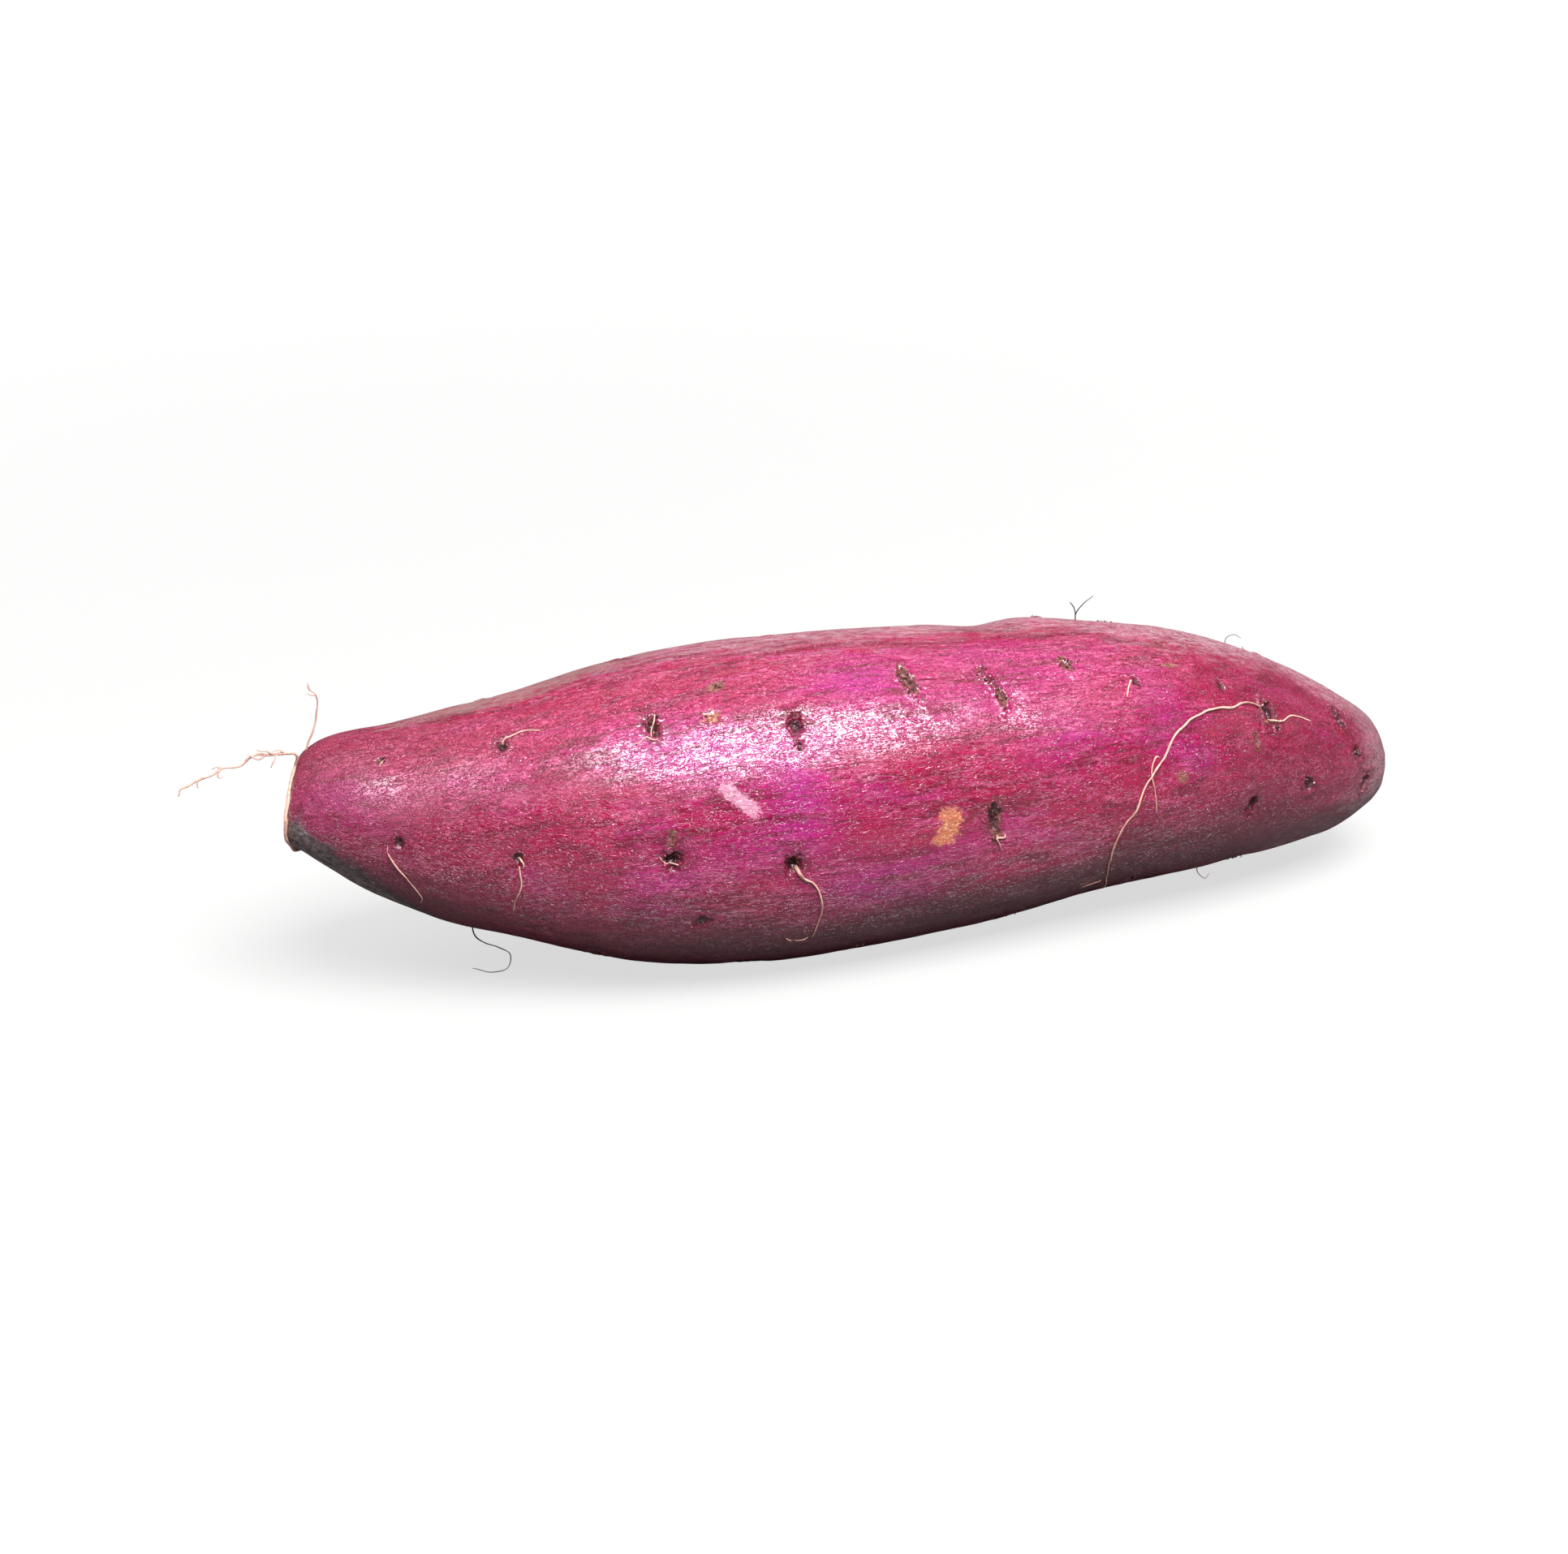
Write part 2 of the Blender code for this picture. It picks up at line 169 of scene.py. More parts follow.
# Patches with an edge: place, half lengths along and across in mm, and tilt. Where some overlap,
# they make one uneven patch.
PINK_BRUISES = (
    (0.0697, 26, 3.6, 1.15, -42),
    (0.0711, 23, 2.6, 1.35, -42),
    (0.0684, 29, 1.5, 1.3, 0),
)
ORANGE_BRUISES = (
    (0.1061, 9.0, 1.6, 1.9, 10),
    (0.1044, 10.5, 1.2, 1.1, 0),
    (0.1052, 5.0, 1.9, 2.0, 10),
    (0.1034, 2.2, 1.4, 1.4, 20),
    (0.1047, 0.8, 1.3, 0.9, 0),
)
TAN_SPOTS = (
    (0.1493, 10, 1.3, 1.2, 0),
    (0.0698, 70, 1.5, 1.0, 10),
    (0.0585, 14, 0.6, 1.1, 0),
    (0.1509, 63, 1.6, 0.7, 0),
)
CORK_STARS = (
    (0.0680, 57, 1.9, 0.40, 20),
    (0.0678, 57, 1.6, 0.42, 75),
    (0.0681, 56, 1.7, 0.38, 135),
)

# Patches without an edge: place, spread along in mm and around, and strength.
MAGENTA_PATCHES = (
    (0.080, 26, 6, 20, 0.9),
    (0.066, 38, 8, 14, 0.6),
    (0.093, 66, 9, 10, 0.8),
    (0.010, 34, 8, 24, 0.8),
    (0.030, 40, 9, 14, 0.4),
    (0.056, -6, 6, 12, 0.6),
    (0.072, 8, 12, 8, 0.5),
    (0.098, -14, 16, 9, 0.35),
    (0.128, 32, 10, 14, 0.5),
    (0.147, 44, 6, 14, 0.5),
    (0.172, 58, 9, 10, 0.3),
    (0.152, 18, 9, 7, 0.25),
    (0.118, 74, 16, 8, 0.5),
    (0.058, 52, 14, 12, 0.5),
    (0.106, 50, 16, 10, 0.5),
    (0.075, 44, 22, 9, 0.45),
    (0.125, 60, 14, 9, 0.45),
    (0.090, -8, 8, 8, 0.5),
    (0.050, 170, 14, 26, 0.7),
    (0.110, 200, 18, 20, 0.7),
    (0.155, 165, 12, 24, 0.6),
)
# Painted shade that joins the underside's: darker towards the narrow end, front and back, and less low
# on the front near the blunt end, where the strength is below 0.
SHADE_PATCHES = (
    (0.168, -2, 22, 26, 0.55),
    (0.142, -10, 12, 14, 0.3),
    (0.186, 160, 16, 40, 0.4),
    (0.036, -30, 14, 20, -0.6),
)
# Grey dust, with a painted grazing sheen on the top rim and at the tip.
DUST_AND_SHEEN_PATCHES = (
    (0.105, 108, 60, 18, 0.95),
    (0.085, 90, 55, 26, 0.38),
    (0.162, 98, 24, 28, 1.05),
    (0.188, 80, 9, 30, 0.7),
    (0.192, -20, 9, 40, 0.85),
    (0.176, -45, 14, 20, 0.7),
    (0.020, 190, 20, 30, 0.6),
    (0.120, 175, 30, 14, 0.6),
    (0.150, 220, 26, 20, 0.6),
)
BARK_PATCHES = (
    (0.034, 106, 22, 20, 1.25),
    (0.056, 110, 14, 14, 0.7),
    (0.145, 128, 12, 12, 0.7),
    (0.085, 215, 14, 16, 0.7),
)
EARTH_PATCHES = (
    (0.060, -135, 9, 20, 0.6),
    (0.140, -110, 12, 16, 0.5),
)

# Earth lies under the blunt end. Its edge on the camera's side, as mm along the tuber and angles
# around it, and how softly it ends, in degrees.
END_EARTH_AROUND = -95
END_EARTH_EDGE = (
    (0, 20), (4.2, 12), (6.4, -2), (9.0, -14), (12.2, -24), (15.5, -37), (18.7, -52), (26, -94),
)
END_EARTH_SOFT = 40

# Rootlets that lie on the skin. How thick they look at the root and the height of their arches
# over the skin are in mm, and then come places along each.
SKIN_ROOTLETS = {
    "long_front": (0.60, 0.7, (
        (0.1684, 40), (0.1664, 45), (0.1643, 45), (0.1610, 42), (0.1579, 41), (0.1526, 36),
        (0.1483, 28), (0.1456, 18), (0.1420, 9), (0.1401, 0), (0.1374, -12), (0.1365, -25),
        (0.1372, -38), (0.1383, -47), (0.1390, -56),
    )),
    "long_twig": (0.36, 0.3, ((0.1373, -40), (0.1352, -41), (0.1330, -42))),
    "long_right": (0.54, 0.5, (
        (0.1684, 40), (0.1700, 37), (0.1716, 38), (0.1740, 42), (0.1762, 42), (0.1785, 41),
    )),
    "long_branch": (0.42, 0.5, (
        (0.1456, 18), (0.1446, 20), (0.1436, 17), (0.1432, 12), (0.1438, 5), (0.1442, -5),
    )),
    "middle_front": (0.55, 0.5, (
        (0.0782, 0), (0.0794, -4), (0.0816, -8), (0.0830, -16), (0.0831, -22), (0.0825, -27),
        (0.0824, -33),
    )),
    "middle_fork": (0.42, 0.3, ((0.0788, 0), (0.0790, -2), (0.0795, -4), (0.0808, -7))),
    "middle_end": (0.30, 0.2, ((0.0824, -32), (0.0806, -33), (0.0790, -33))),
    "middle_chip": (0.62, 0.2, ((0.0792, -35), (0.0785, -33), (0.0776, -31))),
    "left_front": (0.46, 0.3, (
        (0.0342, 2), (0.0343, -3), (0.0345, -9), (0.0336, -17), (0.0333, -25),
    )),
    "left_curl": (0.48, 0.5, ((0.0342, 6), (0.0346, 4), (0.0350, 1), (0.0347, -1))),
    "left_low": (0.42, 0.2, (
        (0.0150, -1), (0.0157, -8), (0.0178, -20), (0.0196, -33), (0.0196, -38),
    )),
    "left_thread": (0.20, 0.0, ((0.0152, 4), (0.0150, 0), (0.0153, -5))),
    "left_high": (0.46, 0.15, (
        (0.0343, 62), (0.0350, 65), (0.0361, 66), (0.0380, 67), (0.0407, 65),
    )),
    "left_tiny": (0.34, 0.4, ((0.0146, 57), (0.0152, 60), (0.0158, 64))),
    "left_tiny_fork": (0.28, 0.4, ((0.0152, 60), (0.0160, 60))),
    "pit_rootlet": (0.42, 0.3, ((0.0600, 3), (0.0591, 3), (0.0572, 4), (0.0562, 7))),
    "eye_strand": (0.40, 0.6, (
        (0.0592, 53), (0.0581, 51), (0.0569, 53), (0.0556, 51), (0.0543, 50),
    )),
    "eye_upright": (0.40, 0.9, ((0.0591, 63), (0.0588, 60), (0.0580, 56), (0.0577, 52))),
    "slit_zigzag": (0.48, 0.4, (
        (0.1150, 1), (0.1154, -2), (0.1139, -2), (0.1143, -4), (0.1150, -8),
    )),
    "slit_side": (0.36, 0.2, ((0.1136, 1), (0.1141, -2), (0.1140, -4))),
    "right_high": (0.50, 0.5, ((0.1432, 55), (0.1424, 54), (0.1415, 51), (0.1406, 46))),
    "back_long": (0.66, 0.8, (
        (0.0700, 158), (0.0722, 166), (0.0735, 178), (0.0728, 190), (0.0744, 202), (0.0770, 210),
        (0.0788, 222),
    )),
    "back_twig": (0.36, 0.3, ((0.0731, 184), (0.0752, 187), (0.0766, 184))),
    "back_left": (0.50, 0.5, ((0.0330, 200), (0.0352, 196), (0.0371, 199), (0.0394, 196))),
    "back_right": (0.54, 0.5, (
        (0.1490, 206), (0.1474, 198), (0.1450, 195), (0.1440, 187), (0.1418, 182),
    )),
    "back_low": (0.44, 0.3, ((0.1130, 228), (0.1120, 236), (0.1132, 245))),
}

# Rootlets that stand clear of the skin: how thick they look in mm, the place of the root, and
# points from it in X, Y and Z, in mm.
FREE_ROOTLETS = {
    "tail": (0.84, (0.0034, -56), (
        (-1.5, -0.9, 0.9), (-2.4, -2.2, 2.4), (-3.1, -3.7, 5.1), (-3, -3.8, 7.4),
        (-2.6, -2.9, 9.6), (-1.9, -1.4, 11.6), (-1.1, 0.3, 13.1), (-0.2, 1.6, 15),
        (0.1, 1.3, 16.4), (-0.4, 0.9, 17.3), (-1.4, 0.9, 17.4), (-2.9, 1.3, 17.3),
        (-4.6, 1.5, 17.2), (-6.1, 1.5, 17.5), (-7.6, 1.4, 17.1), (-8.7, 1.3, 16.2),
        (-10.3, 1.1, 15.9), (-12.2, 0.9, 15.9), (-13.6, 0.7, 15.1), (-15.2, 0.6, 14.7),
        (-16.5, 0.5, 14.4), (-17.7, 0.4, 13.9), (-18.9, 0.4, 13.4), (-19.4, 0.2, 12.3),
    )),
    "tail_branch": (0.54, (0.0026, 100), (
        (0.7, -0.1, 1.8), (1.4, -0.1, 3), (2.1, -0.1, 4.8), (2.4, -0.2, 6.6), (2.6, -0.2, 8.8),
        (2.3, -0.3, 9.8), (1.5, -0.4, 10.6), (1.2, -0.5, 12.1),
    )),
    "top_sprig": (0.40, (0.1396, 104), (
        (0, 0.2, 1.2), (-0.4, 0, 2.4), (-1.4, -0.4, 3.6),
    )),
    "top_sprig_branch": (0.36, (0.1396, 104), (
        (0.2, 0.2, 1.4), (1.8, 0.6, 3), (3.6, 1, 4),
    )),
    "low_left": (0.34, (0.0279, -60), (
        (0.3, -0.8, -1.2), (1.6, -1.6, -2.2), (3.8, -2.2, -3.2), (5.6, -3, -4.2),
        (5, -4.8, -5.6), (2.4, -5.6, -5.8), (-1.2, -5.2, -4.8),
    )),
    "top_hair": (0.24, (0.1690, 106), (
        (0.4, 0.2, 1), (1.8, 0, 1.5), (3, -0.4, 0.6),
    )),
    "low_curl": (0.28, (0.1590, -62), (
        (0, -1, -0.8), (1, -1.4, -1.6), (2, -1, -0.8),
    )),
}

# Twigs on a rootlet that stands clear: how thick they look in mm, the rootlet, and points from
# its root in mm.
TWIGS = {
    "tail_low": (0.46, "tail", (
        (-3.1, 1.3, 17.4), (-3.6, 0.8, 16.6), (-4.3, 0.5, 15.4),
    )),
    "tail_ridge": (0.50, "tail", (
        (-3.8, 1.4, 17.2), (-4.8, 1.3, 18.1), (-5.6, 1.1, 18.2), (-6.3, 1.1, 18.6),
    )),
    "tail_under": (0.48, "tail", (
        (-5, 1.5, 17.2), (-6.2, 1.1, 16.8), (-6.9, 0.9, 17.3), (-7.8, 0.9, 18),
    )),
    "tail_first": (0.40, "tail", (
        (-2, 1.2, 17.4), (-2.7, 1.1, 18.1), (-3.8, 1.1, 17.9),
    )),
    "tail_hook": (0.44, "tail", (
        (-12.2, 0.9, 15.9), (-12.8, 0.5, 15.3), (-12.7, 0.3, 14.6), (-12, 0.3, 14.8),
    )),
    "tail_spur": (0.42, "tail", (
        (-12.2, 0.9, 15.9), (-13, 0.8, 16.5), (-13.6, 0.7, 16.1),
    )),
    "tail_drop": (0.38, "tail", (
        (-15.9, 0.6, 14.6), (-16.2, 0.3, 13.9), (-16.1, 0.1, 13.3),
    )),
    "high_spur": (0.32, "tail_branch", (
        (2.4, -0.3, 9.8), (1.6, -0.6, 9.8), (0.8, -0.7, 10.4),
    )),
}

# Rootlets that have dried to dark hairs. A tone past 1, by this much, makes them so.
DARK_HAIRS = ("top_sprig", "top_sprig_branch", "top_hair", "low_left")
DARK_HAIR_TONE = 2

# The blur of a picture makes thin things look thicker than they are: a rootlet has this share of
# how thick it looks. It narrows to a share of that at its end, and ends in a blunt point.
ROOT_SHARE = 0.76
ROOT_TIP_SHARE = 0.50
ROOT_POINT = 0.06

# Rootlets start this deep in the tuber. Those on the skin come out of it over the second length,
# and those that stand clear begin to wander over the third.
ROOT_SUNK, ROOT_OUT, ROOT_FREE = 0.0008, 0.0012, 0.002
ROOT_STEP = 0.0004
ROOT_SIDES = 8

# A rootlet's wandering in mm, and how much it swells and narrows, with the sizes of the bends.
ROOT_WANDER_MM, ROOT_FINE_WANDER_MM, ROOT_SWELL = 0.22, 0.08, 0.30
BEND_ALONG_MM, BEND_AROUND_MM, BEND_FREE_MM, BEND_ARCH_MM = 2.6, 2.2, 2.4, 4.0
BEND_FINE_MM, BEND_SWELL_MM = 0.8, 1.3

# Half the tuber's thickness where most rootlets are, to turn lengths around it into angles.
ROOT_HALF_THICKNESS = 0.024

# How finely the skin is divided, and how much finer near the scars.
BASE_AROUND, BASE_ALONG = 184, 276
FINE_REACH_MM = 1.5
FINE_CUTS = 2

# Crumbs of cork and slivers, with half sizes in mm. Crumbs are scattered over a share of the scar.
CRUMB_SIZES = (0.10, 0.30)
CRUMB_SPREAD = 0.6
CRUMB_DENTS, CRUMB_DENT_SCALE = 0.45, 1.6
CRUMB_LIFT = 0.00012
SLIVER_SHARE = 0.40
SLIVER_LENGTH, SLIVER_VARIES = 0.50, (0.6, 1.2)
SLIVER_SIDES = (0.09, 0.07)

# Colours of the skin and of what grows, sticks or dries on it, and some that paint shade and sheen on
# it.
CRIMSON = (0.320, 0.0028, 0.0450, 1)
DEEP = (0.150, 0.0016, 0.0190, 1)
MAGENTA = (0.400, 0.0100, 0.1900, 1)
PALE = (0.600, 0.1050, 0.2500, 1)
# Painted shade: the underside darker and duller, as if in shadow.
UNDERSIDE_SHADE_PURPLE = (0.062, 0.0016, 0.0040, 1)
# Painted shade: the ends darker and redder, as if less lit than the middle.
END_SHADE_RED = (0.170, 0.0030, 0.0270, 1)
# Grey dust, and the painted sheen of a grazing reflection.
DUST_AND_SHEEN = (0.420, 0.2600, 0.2900, 1)
DRY_BARK = (0.270, 0.1600, 0.1400, 1)
# The tip's grey: dust, and the painted sheen of a grazing reflection.
TIP_GREY_AND_SHEEN = (0.290, 0.1800, 0.1950, 1)
PINK_FLESH = (0.800, 0.5400, 0.5800, 1)
PINK_BLUSH = (0.640, 0.3300, 0.4000, 1)
PINK_EDGE = (0.540, 0.1900, 0.3100, 1)
ORANGE_FLESH = (0.620, 0.2300, 0.0950, 1)
ORANGE_DEEP = (0.480, 0.1000, 0.0520, 1)
ORANGE_PALE = (0.720, 0.4000, 0.2600, 1)
ORANGE_EDGE = (0.400, 0.0900, 0.0800, 1)
STAR_DARK = (0.230, 0.0450, 0.0220, 1)
STAR_LIGHT = (0.520, 0.2300, 0.1200, 1)
TAN_DARK = (0.180, 0.0550, 0.0350, 1)
TAN_CORK = (0.310, 0.1150, 0.0780, 1)
OLIVE_CORK = (0.135, 0.0470, 0.0290, 1)
BROWN_CORK = (0.105, 0.0220, 0.0160, 1)
PIT_DARK = (0.030, 0.0035, 0.0050, 1)
EARTH_DARK = (0.030, 0.0250, 0.0240, 1)
EARTH_LIGHT = (0.340, 0.2750, 0.2450, 1)
EARTH_RED = (0.230, 0.1100, 0.1050, 1)
WOOD_DARK = (0.110, 0.0420, 0.0260, 1)
WOOD_LIGHT = (0.360, 0.1900, 0.1050, 1)
WOOD_RED = (0.170, 0.0400, 0.0400, 1)
ROOT_LIGHT = (0.720, 0.4250, 0.3500, 1)
ROOT_DARK = (0.360, 0.1300, 0.0880, 1)
ROOT_BASE = (0.170, 0.0350, 0.0350, 1)
HAIR_GREY = (0.060, 0.0480, 0.0480, 1)

# The skin's gloss is a little violet. The height of the finest relief is in metres.
SHINE_TINT = (0.98, 0.88, 1.0, 1)
SKIN_BUMP, CORK_BUMP = 0.00014, 0.00004

# The floor and the world look brighter to the camera than the light that they give. The floor
# glows with the first strength near the tuber, and with the second far from it.
WHITE = (1, 1, 1, 1)
WORLD_LIGHT, WORLD_SEEN = 0.09, 1.05
FLOOR_SIZE = 60
FLOOR_COLOUR = (0.15, 0.149, 0.147, 1)
FLOOR_NEAR, FLOOR_FAR = 0.68, 1.0
FLOOR_GLOW_FADE = (0.10, 1.10)

# The lamps: place, the point that each faces, width and depth, and power in watts.
LAMPS = {
    "ceiling": ((0, 0, 2.6), (0, 0, 0), (5, 5), 100),
    "key": ((0.08, -0.38, 0.77), (-0.01, 0, 0.03), (0.60, 0.46), 15.5),
}


def chords(points):
    """The distance of each point from the first, along the straight lines between them."""
    return np.concatenate([[0.0], np.cumsum(np.linalg.norm(np.diff(points, axis=0), axis=1))])


def smooth_curve(points, knots, at):
    """Places on the smooth curve that passes each of `points` at its knot.

    The first and last of `points` only steer the curve's ends.
    """
    gaps = np.diff(knots)[:, None]
    slopes = np.diff(points, axis=0) / gaps
    tangents = np.zeros_like(points)
    tangents[1:-1] = (slopes[:-1] * gaps[1:] + slopes[1:] * gaps[:-1]) / (gaps[:-1] + gaps[1:])
    i = np.clip(np.searchsorted(knots, at, side="right") - 1, 1, len(points) - 3)
    gap = gaps[i]
    q = (np.asarray(at)[:, None] - knots[i][:, None]) / gap
    return (
        (2 * q**3 - 3 * q**2 + 1) * points[i]
        + (q**3 - 2 * q**2 + q) * gap * tangents[i]
        + (3 * q**2 - 2 * q**3) * points[i + 1]
        + (q**3 - q**2) * gap * tangents[i + 1]
    )


def profile_table():
    """The side profile: shares of its length, and rows of along, half thickness and height."""
    mirror = np.array([1.0, -1.0, 1.0])
    sections = np.array(SECTIONS)
    points = np.vstack([sections[1] * mirror, sections, sections[-2] * mirror])
    knots = chords(points[:, :2])
    shares = np.linspace(0.0, 1.0, PROFILE_SAMPLES)
    return shares, smooth_curve(points, knots, knots[1] + (knots[-2] - knots[1]) * shares)


SHARES, PROFILE = profile_table()


def turn_between(around, centre):
    """The angle from centre to around, from -180 to 180 degrees."""
    return (around - centre + 180) % 360 - 180


def smoothstep(low, high, value):
    t = np.clip((value - low) / (high - low), 0.0, 1.0)
    return t * t * (3 - 2 * t)


def hidden_scars():
    """The scars on the back and underneath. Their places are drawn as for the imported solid."""
    draw = random.Random(SEED)
    shape = random.Random(SEED + 1)
    found = []
    for around in SCAR_ROWS:
        along = ROW_START + draw.uniform(0, ROW_STEP)
        while along < ROW_END:
            place = (
                along + draw.uniform(-1, 1) * SCATTER_ALONG,
                around + draw.uniform(-1, 1) * SCATTER_AROUND,
            )
            across = draw.uniform(*SCAR_HALF_LENGTHS) / MM
            depth = draw.uniform(*SCAR_DEPTHS) / MM
            width = shape.uniform(*SCAR_WIDTHS_MM)
            tilt = shape.uniform(*SCAR_TILTS)
            rim = shape.uniform(*SCAR_RIMS_MM)
            dark = shape.uniform(*SCAR_DARKS)
            cork = shape.uniform(*SCAR_CORKS)
            crumbs = shape.randint(*SCAR_CRUMBS)
            found.append(Scar(*place, across, width, tilt, depth, rim, dark, cork, crumbs))
            along += ROW_STEP
    return found


ALL_SCARS = (*SCARS, *hidden_scars())


def field(points, scale, seed=0.0):
    """Smooth noise from -1 to 1 at each point, with features of the sizes in `scale`, in mm."""
    stretched = points / (np.array(scale) * MM) + seed
    return np.array([noise.noise(Vector(place)) for place in stretched])


def waves(points, table):
    """The sum of the noises in a table of heights, sizes and seeds."""
    return sum(height * field(points, sizes, seed) for height, sizes, seed in table)


def local_frame(along, around, thick, place):
    """Distances in mm from a place on the skin: along the tuber, and across it."""
    return (along - place[0]) / MM, np.radians(turn_between(around, place[1])) * thick / MM


def turned(beside, across, tilt):
    c, s = math.cos(math.radians(tilt)), math.sin(math.radians(tilt))
    return c * beside + s * across, c * across - s * beside


def relief(along, around, thick, rough):
    """The height in mm of the scars over the smooth tuber, masks of what they are made of, and a ring of
    painted shade around each pit.

    A scar has a broad dip, a pit in it, a torn rim, and folds that run out from it.
    """
    height, pit, cork, shade_ring = (np.zeros_like(along) for _ in range(4))
    for scar in ALL_SCARS:
        beside, across = local_frame(along, around, thick, scar)
        near = np.hypot(beside, across) < SCAR_REACH_MM
        if not near.any():
            continue
        b, a = turned(beside[near], across[near], scar.tilt)
        ragged = rough[near]
        q = np.hypot(b / scar.half_along, a / scar.half_across) * (1 + SCAR_TORN * ragged)
        folds = np.cos(SCAR_FOLDS * np.arctan2(a, b) + 6 * ragged)
        broad = np.exp(
            -((b / (scar.half_along + 1.6)) ** 2) - (a / (scar.half_across + 1.2)) ** 2
        )
        height[near] += (
            -0.45 * scar.depth * broad
            - 0.85 * scar.depth * (1 - smoothstep(0.15, 1.15, q))
            + scar.rim * (0.7 + 0.9 * ragged) * np.exp(-(((q - 1.35) / 0.4) ** 2))
            + 0.25 * scar.rim * folds * np.exp(-(((q - 1.8) / 0.7) ** 2))
        )
        pit[near] = np.maximum(pit[near], scar.dark * (1 - smoothstep(0.1, 1.35, q)))
        cork[near] = np.maximum(cork[near], scar.cork * (1 - smoothstep(0.6, 1.9, q)))
        # A ring of painted shade around the pit, as in a hollow.
        shade_ring[near] = np.maximum(shade_ring[near], scar.dark * np.exp(-((q / 2.4) ** 2)))
    return height, pit, cork, shade_ring


def edged(along, around, thick, patches):
    """A signed distance to the nearest patch's edge, in patch sizes: below 0 is inside it."""
    found = np.full_like(along, 9.0)
    for patch in patches:
        beside, across = local_frame(along, around, thick, patch)
        b, a = turned(beside, across, patch[4])
        found = np.minimum(found, np.hypot(b / patch[2], a / patch[3]) - 1)
    return found


def soft(along, around, patches):
    """The sum of patches that fade out, each from its place."""
    found = np.zeros_like(along)
    for at, centre, spread, spread_around, strength in patches:
        q = ((along - at) / (spread * MM)) ** 2 + (turn_between(around, centre) / spread_around) ** 2
        found += strength * np.exp(-q)
    return found


def end_earth(along, around):
    """Earth under the blunt end: a wide patch that narrows along the tuber."""
    edge = np.interp(along / MM, *zip(*END_EARTH_EDGE))
    beyond = np.abs(turn_between(around, END_EARTH_AROUND)) - (edge - END_EARTH_AROUND)
    return np.clip(0.60 - beyond / END_EARTH_SOFT, 0, 1) * smoothstep(*END_EARTH_FADE, along)


def rested(height):
    """The height of a place on the skin once the tuber is flattened where it rests."""
    pressed = np.maximum(0.0, height + FLAT_BLEND) ** 2 / (4 * FLAT_BLEND)
    return np.where(height >= FLAT_BLEND, height, pressed)


def smooth_skin(share, around):
    """Along, half thickness, and the smooth tuber's radius and height of the middle."""
    along, thick, height = (np.interp(share, SHARES, PROFILE[:, column]) for column in range(3))
    angle = np.radians(around)
    radius = thick * (
        1
        + OVAL * np.cos(2 * (angle - math.radians(OVAL_TURN)))
        + LOBE * np.cos(3 * angle + along / LOBE_PITCH)
    )
    fade = np.minimum(1.0, thick / LUMP_FADE)
    for at, centre, rise, spread, spread_around in LUMPS:
        turn = turn_between(around, centre) / spread_around
        radius = radius + rise * fade * np.exp(-(((along - at) / spread) ** 2) - turn**2)
    return along, thick, radius, height


def place_skin(along, radius, height, around):
    angle = np.radians(around)
    sideways, upward = -radius * np.cos(angle), radius * np.sin(angle)
    middle = 2 * along / LENGTH - 1
    slant = (SLANT_BACK * sideways + SLANT_UP * upward) * np.exp(-((along / SLANT_FADE) ** 2))
    return np.stack(
        [
            BLUNT_END_X + along + slant,
            BOW * middle**2 + BOW_SHIFT + sideways,
            rested(height + upward),
        ],
        axis=-1,
    )


def skin(share, around, lift=0.0):
    """Points on the finished skin, `lift` above it, and a dict of what the skin is like there."""
    share, around = np.atleast_1d(share).astype(float), np.atleast_1d(around).astype(float)
    along, thick, radius, height = smooth_skin(share, around)
    smooth = place_skin(along, radius, height, around)
    rough = waves(smooth, SCAR_GRAIN)
    raised, pit, cork, shade_ring = relief(along, around, thick, rough)
    tip_waves = smoothstep(*TIP_WAVES_FADE, along) * waves(smooth, TIP_WAVES)
    raised = raised + smoothstep(*WAVES_FADE, thick) * (waves(smooth, WAVES) + tip_waves)
    place = place_skin(along, radius + raised * MM + lift, height, around)
    cut = 1 - smoothstep(*CUT_FADE, along + CUT_RAGGED * rough)
    place[:, 0] -= cut * MM * waves(smooth, CUT_WAVES)
    downward = smoothstep(*UNDERSIDE_SHADE_FADE, np.sin(np.radians(around)))
    facts = {
        "pit": pit,
        "cork": cork,
        "shade_ring": shade_ring,
        "pink": edged(along, around, thick, PINK_BRUISES),
        "orange": edged(along, around, thick, ORANGE_BRUISES),
        "tan": edged(along, around, thick, TAN_SPOTS),
        "star": edged(along, around, thick, CORK_STARS),
        "magenta": soft(along, around, MAGENTA_PATCHES),
        # Dust, and painted sheen on the top rim and the tip.
        "dust_and_sheen": soft(along, around, DUST_AND_SHEEN_PATCHES),
        "bark": soft(along, around, BARK_PATCHES),
        "earth": end_earth(along, around) + soft(along, around, EARTH_PATCHES),
        "cut": cut,
        # Where the underside is painted darker, as shade.
        "low": downward + soft(along, around, SHADE_PATCHES),
        "tip": smoothstep(*TIP_FADE, along),
        # Both ends: painted darker as shade, and matte.
        "end": smoothstep(*LEFT_END_FADE, along) + smoothstep(*RIGHT_END_FADE, along),
    }
    return place, facts


def shares_of(along):
    return np.interp(along, PROFILE[:, 0], SHARES)


def skin_place(along, around, lift=0.0):
    """One point on the skin at that distance along the tuber."""
    return Vector(skin(shares_of(along), around, lift)[0][0])


def sphere_places(bm):
    """The share of the profile and the angle around for each corner of a unit sphere."""
    co = np.array([corner.co for corner in bm.verts])
    co /= np.linalg.norm(co, axis=1)[:, None]
    share = 1 - np.arccos(np.clip(co[:, 2], -1, 1)) / math.pi
    return share, np.degrees(np.arctan2(co[:, 1], co[:, 0]))


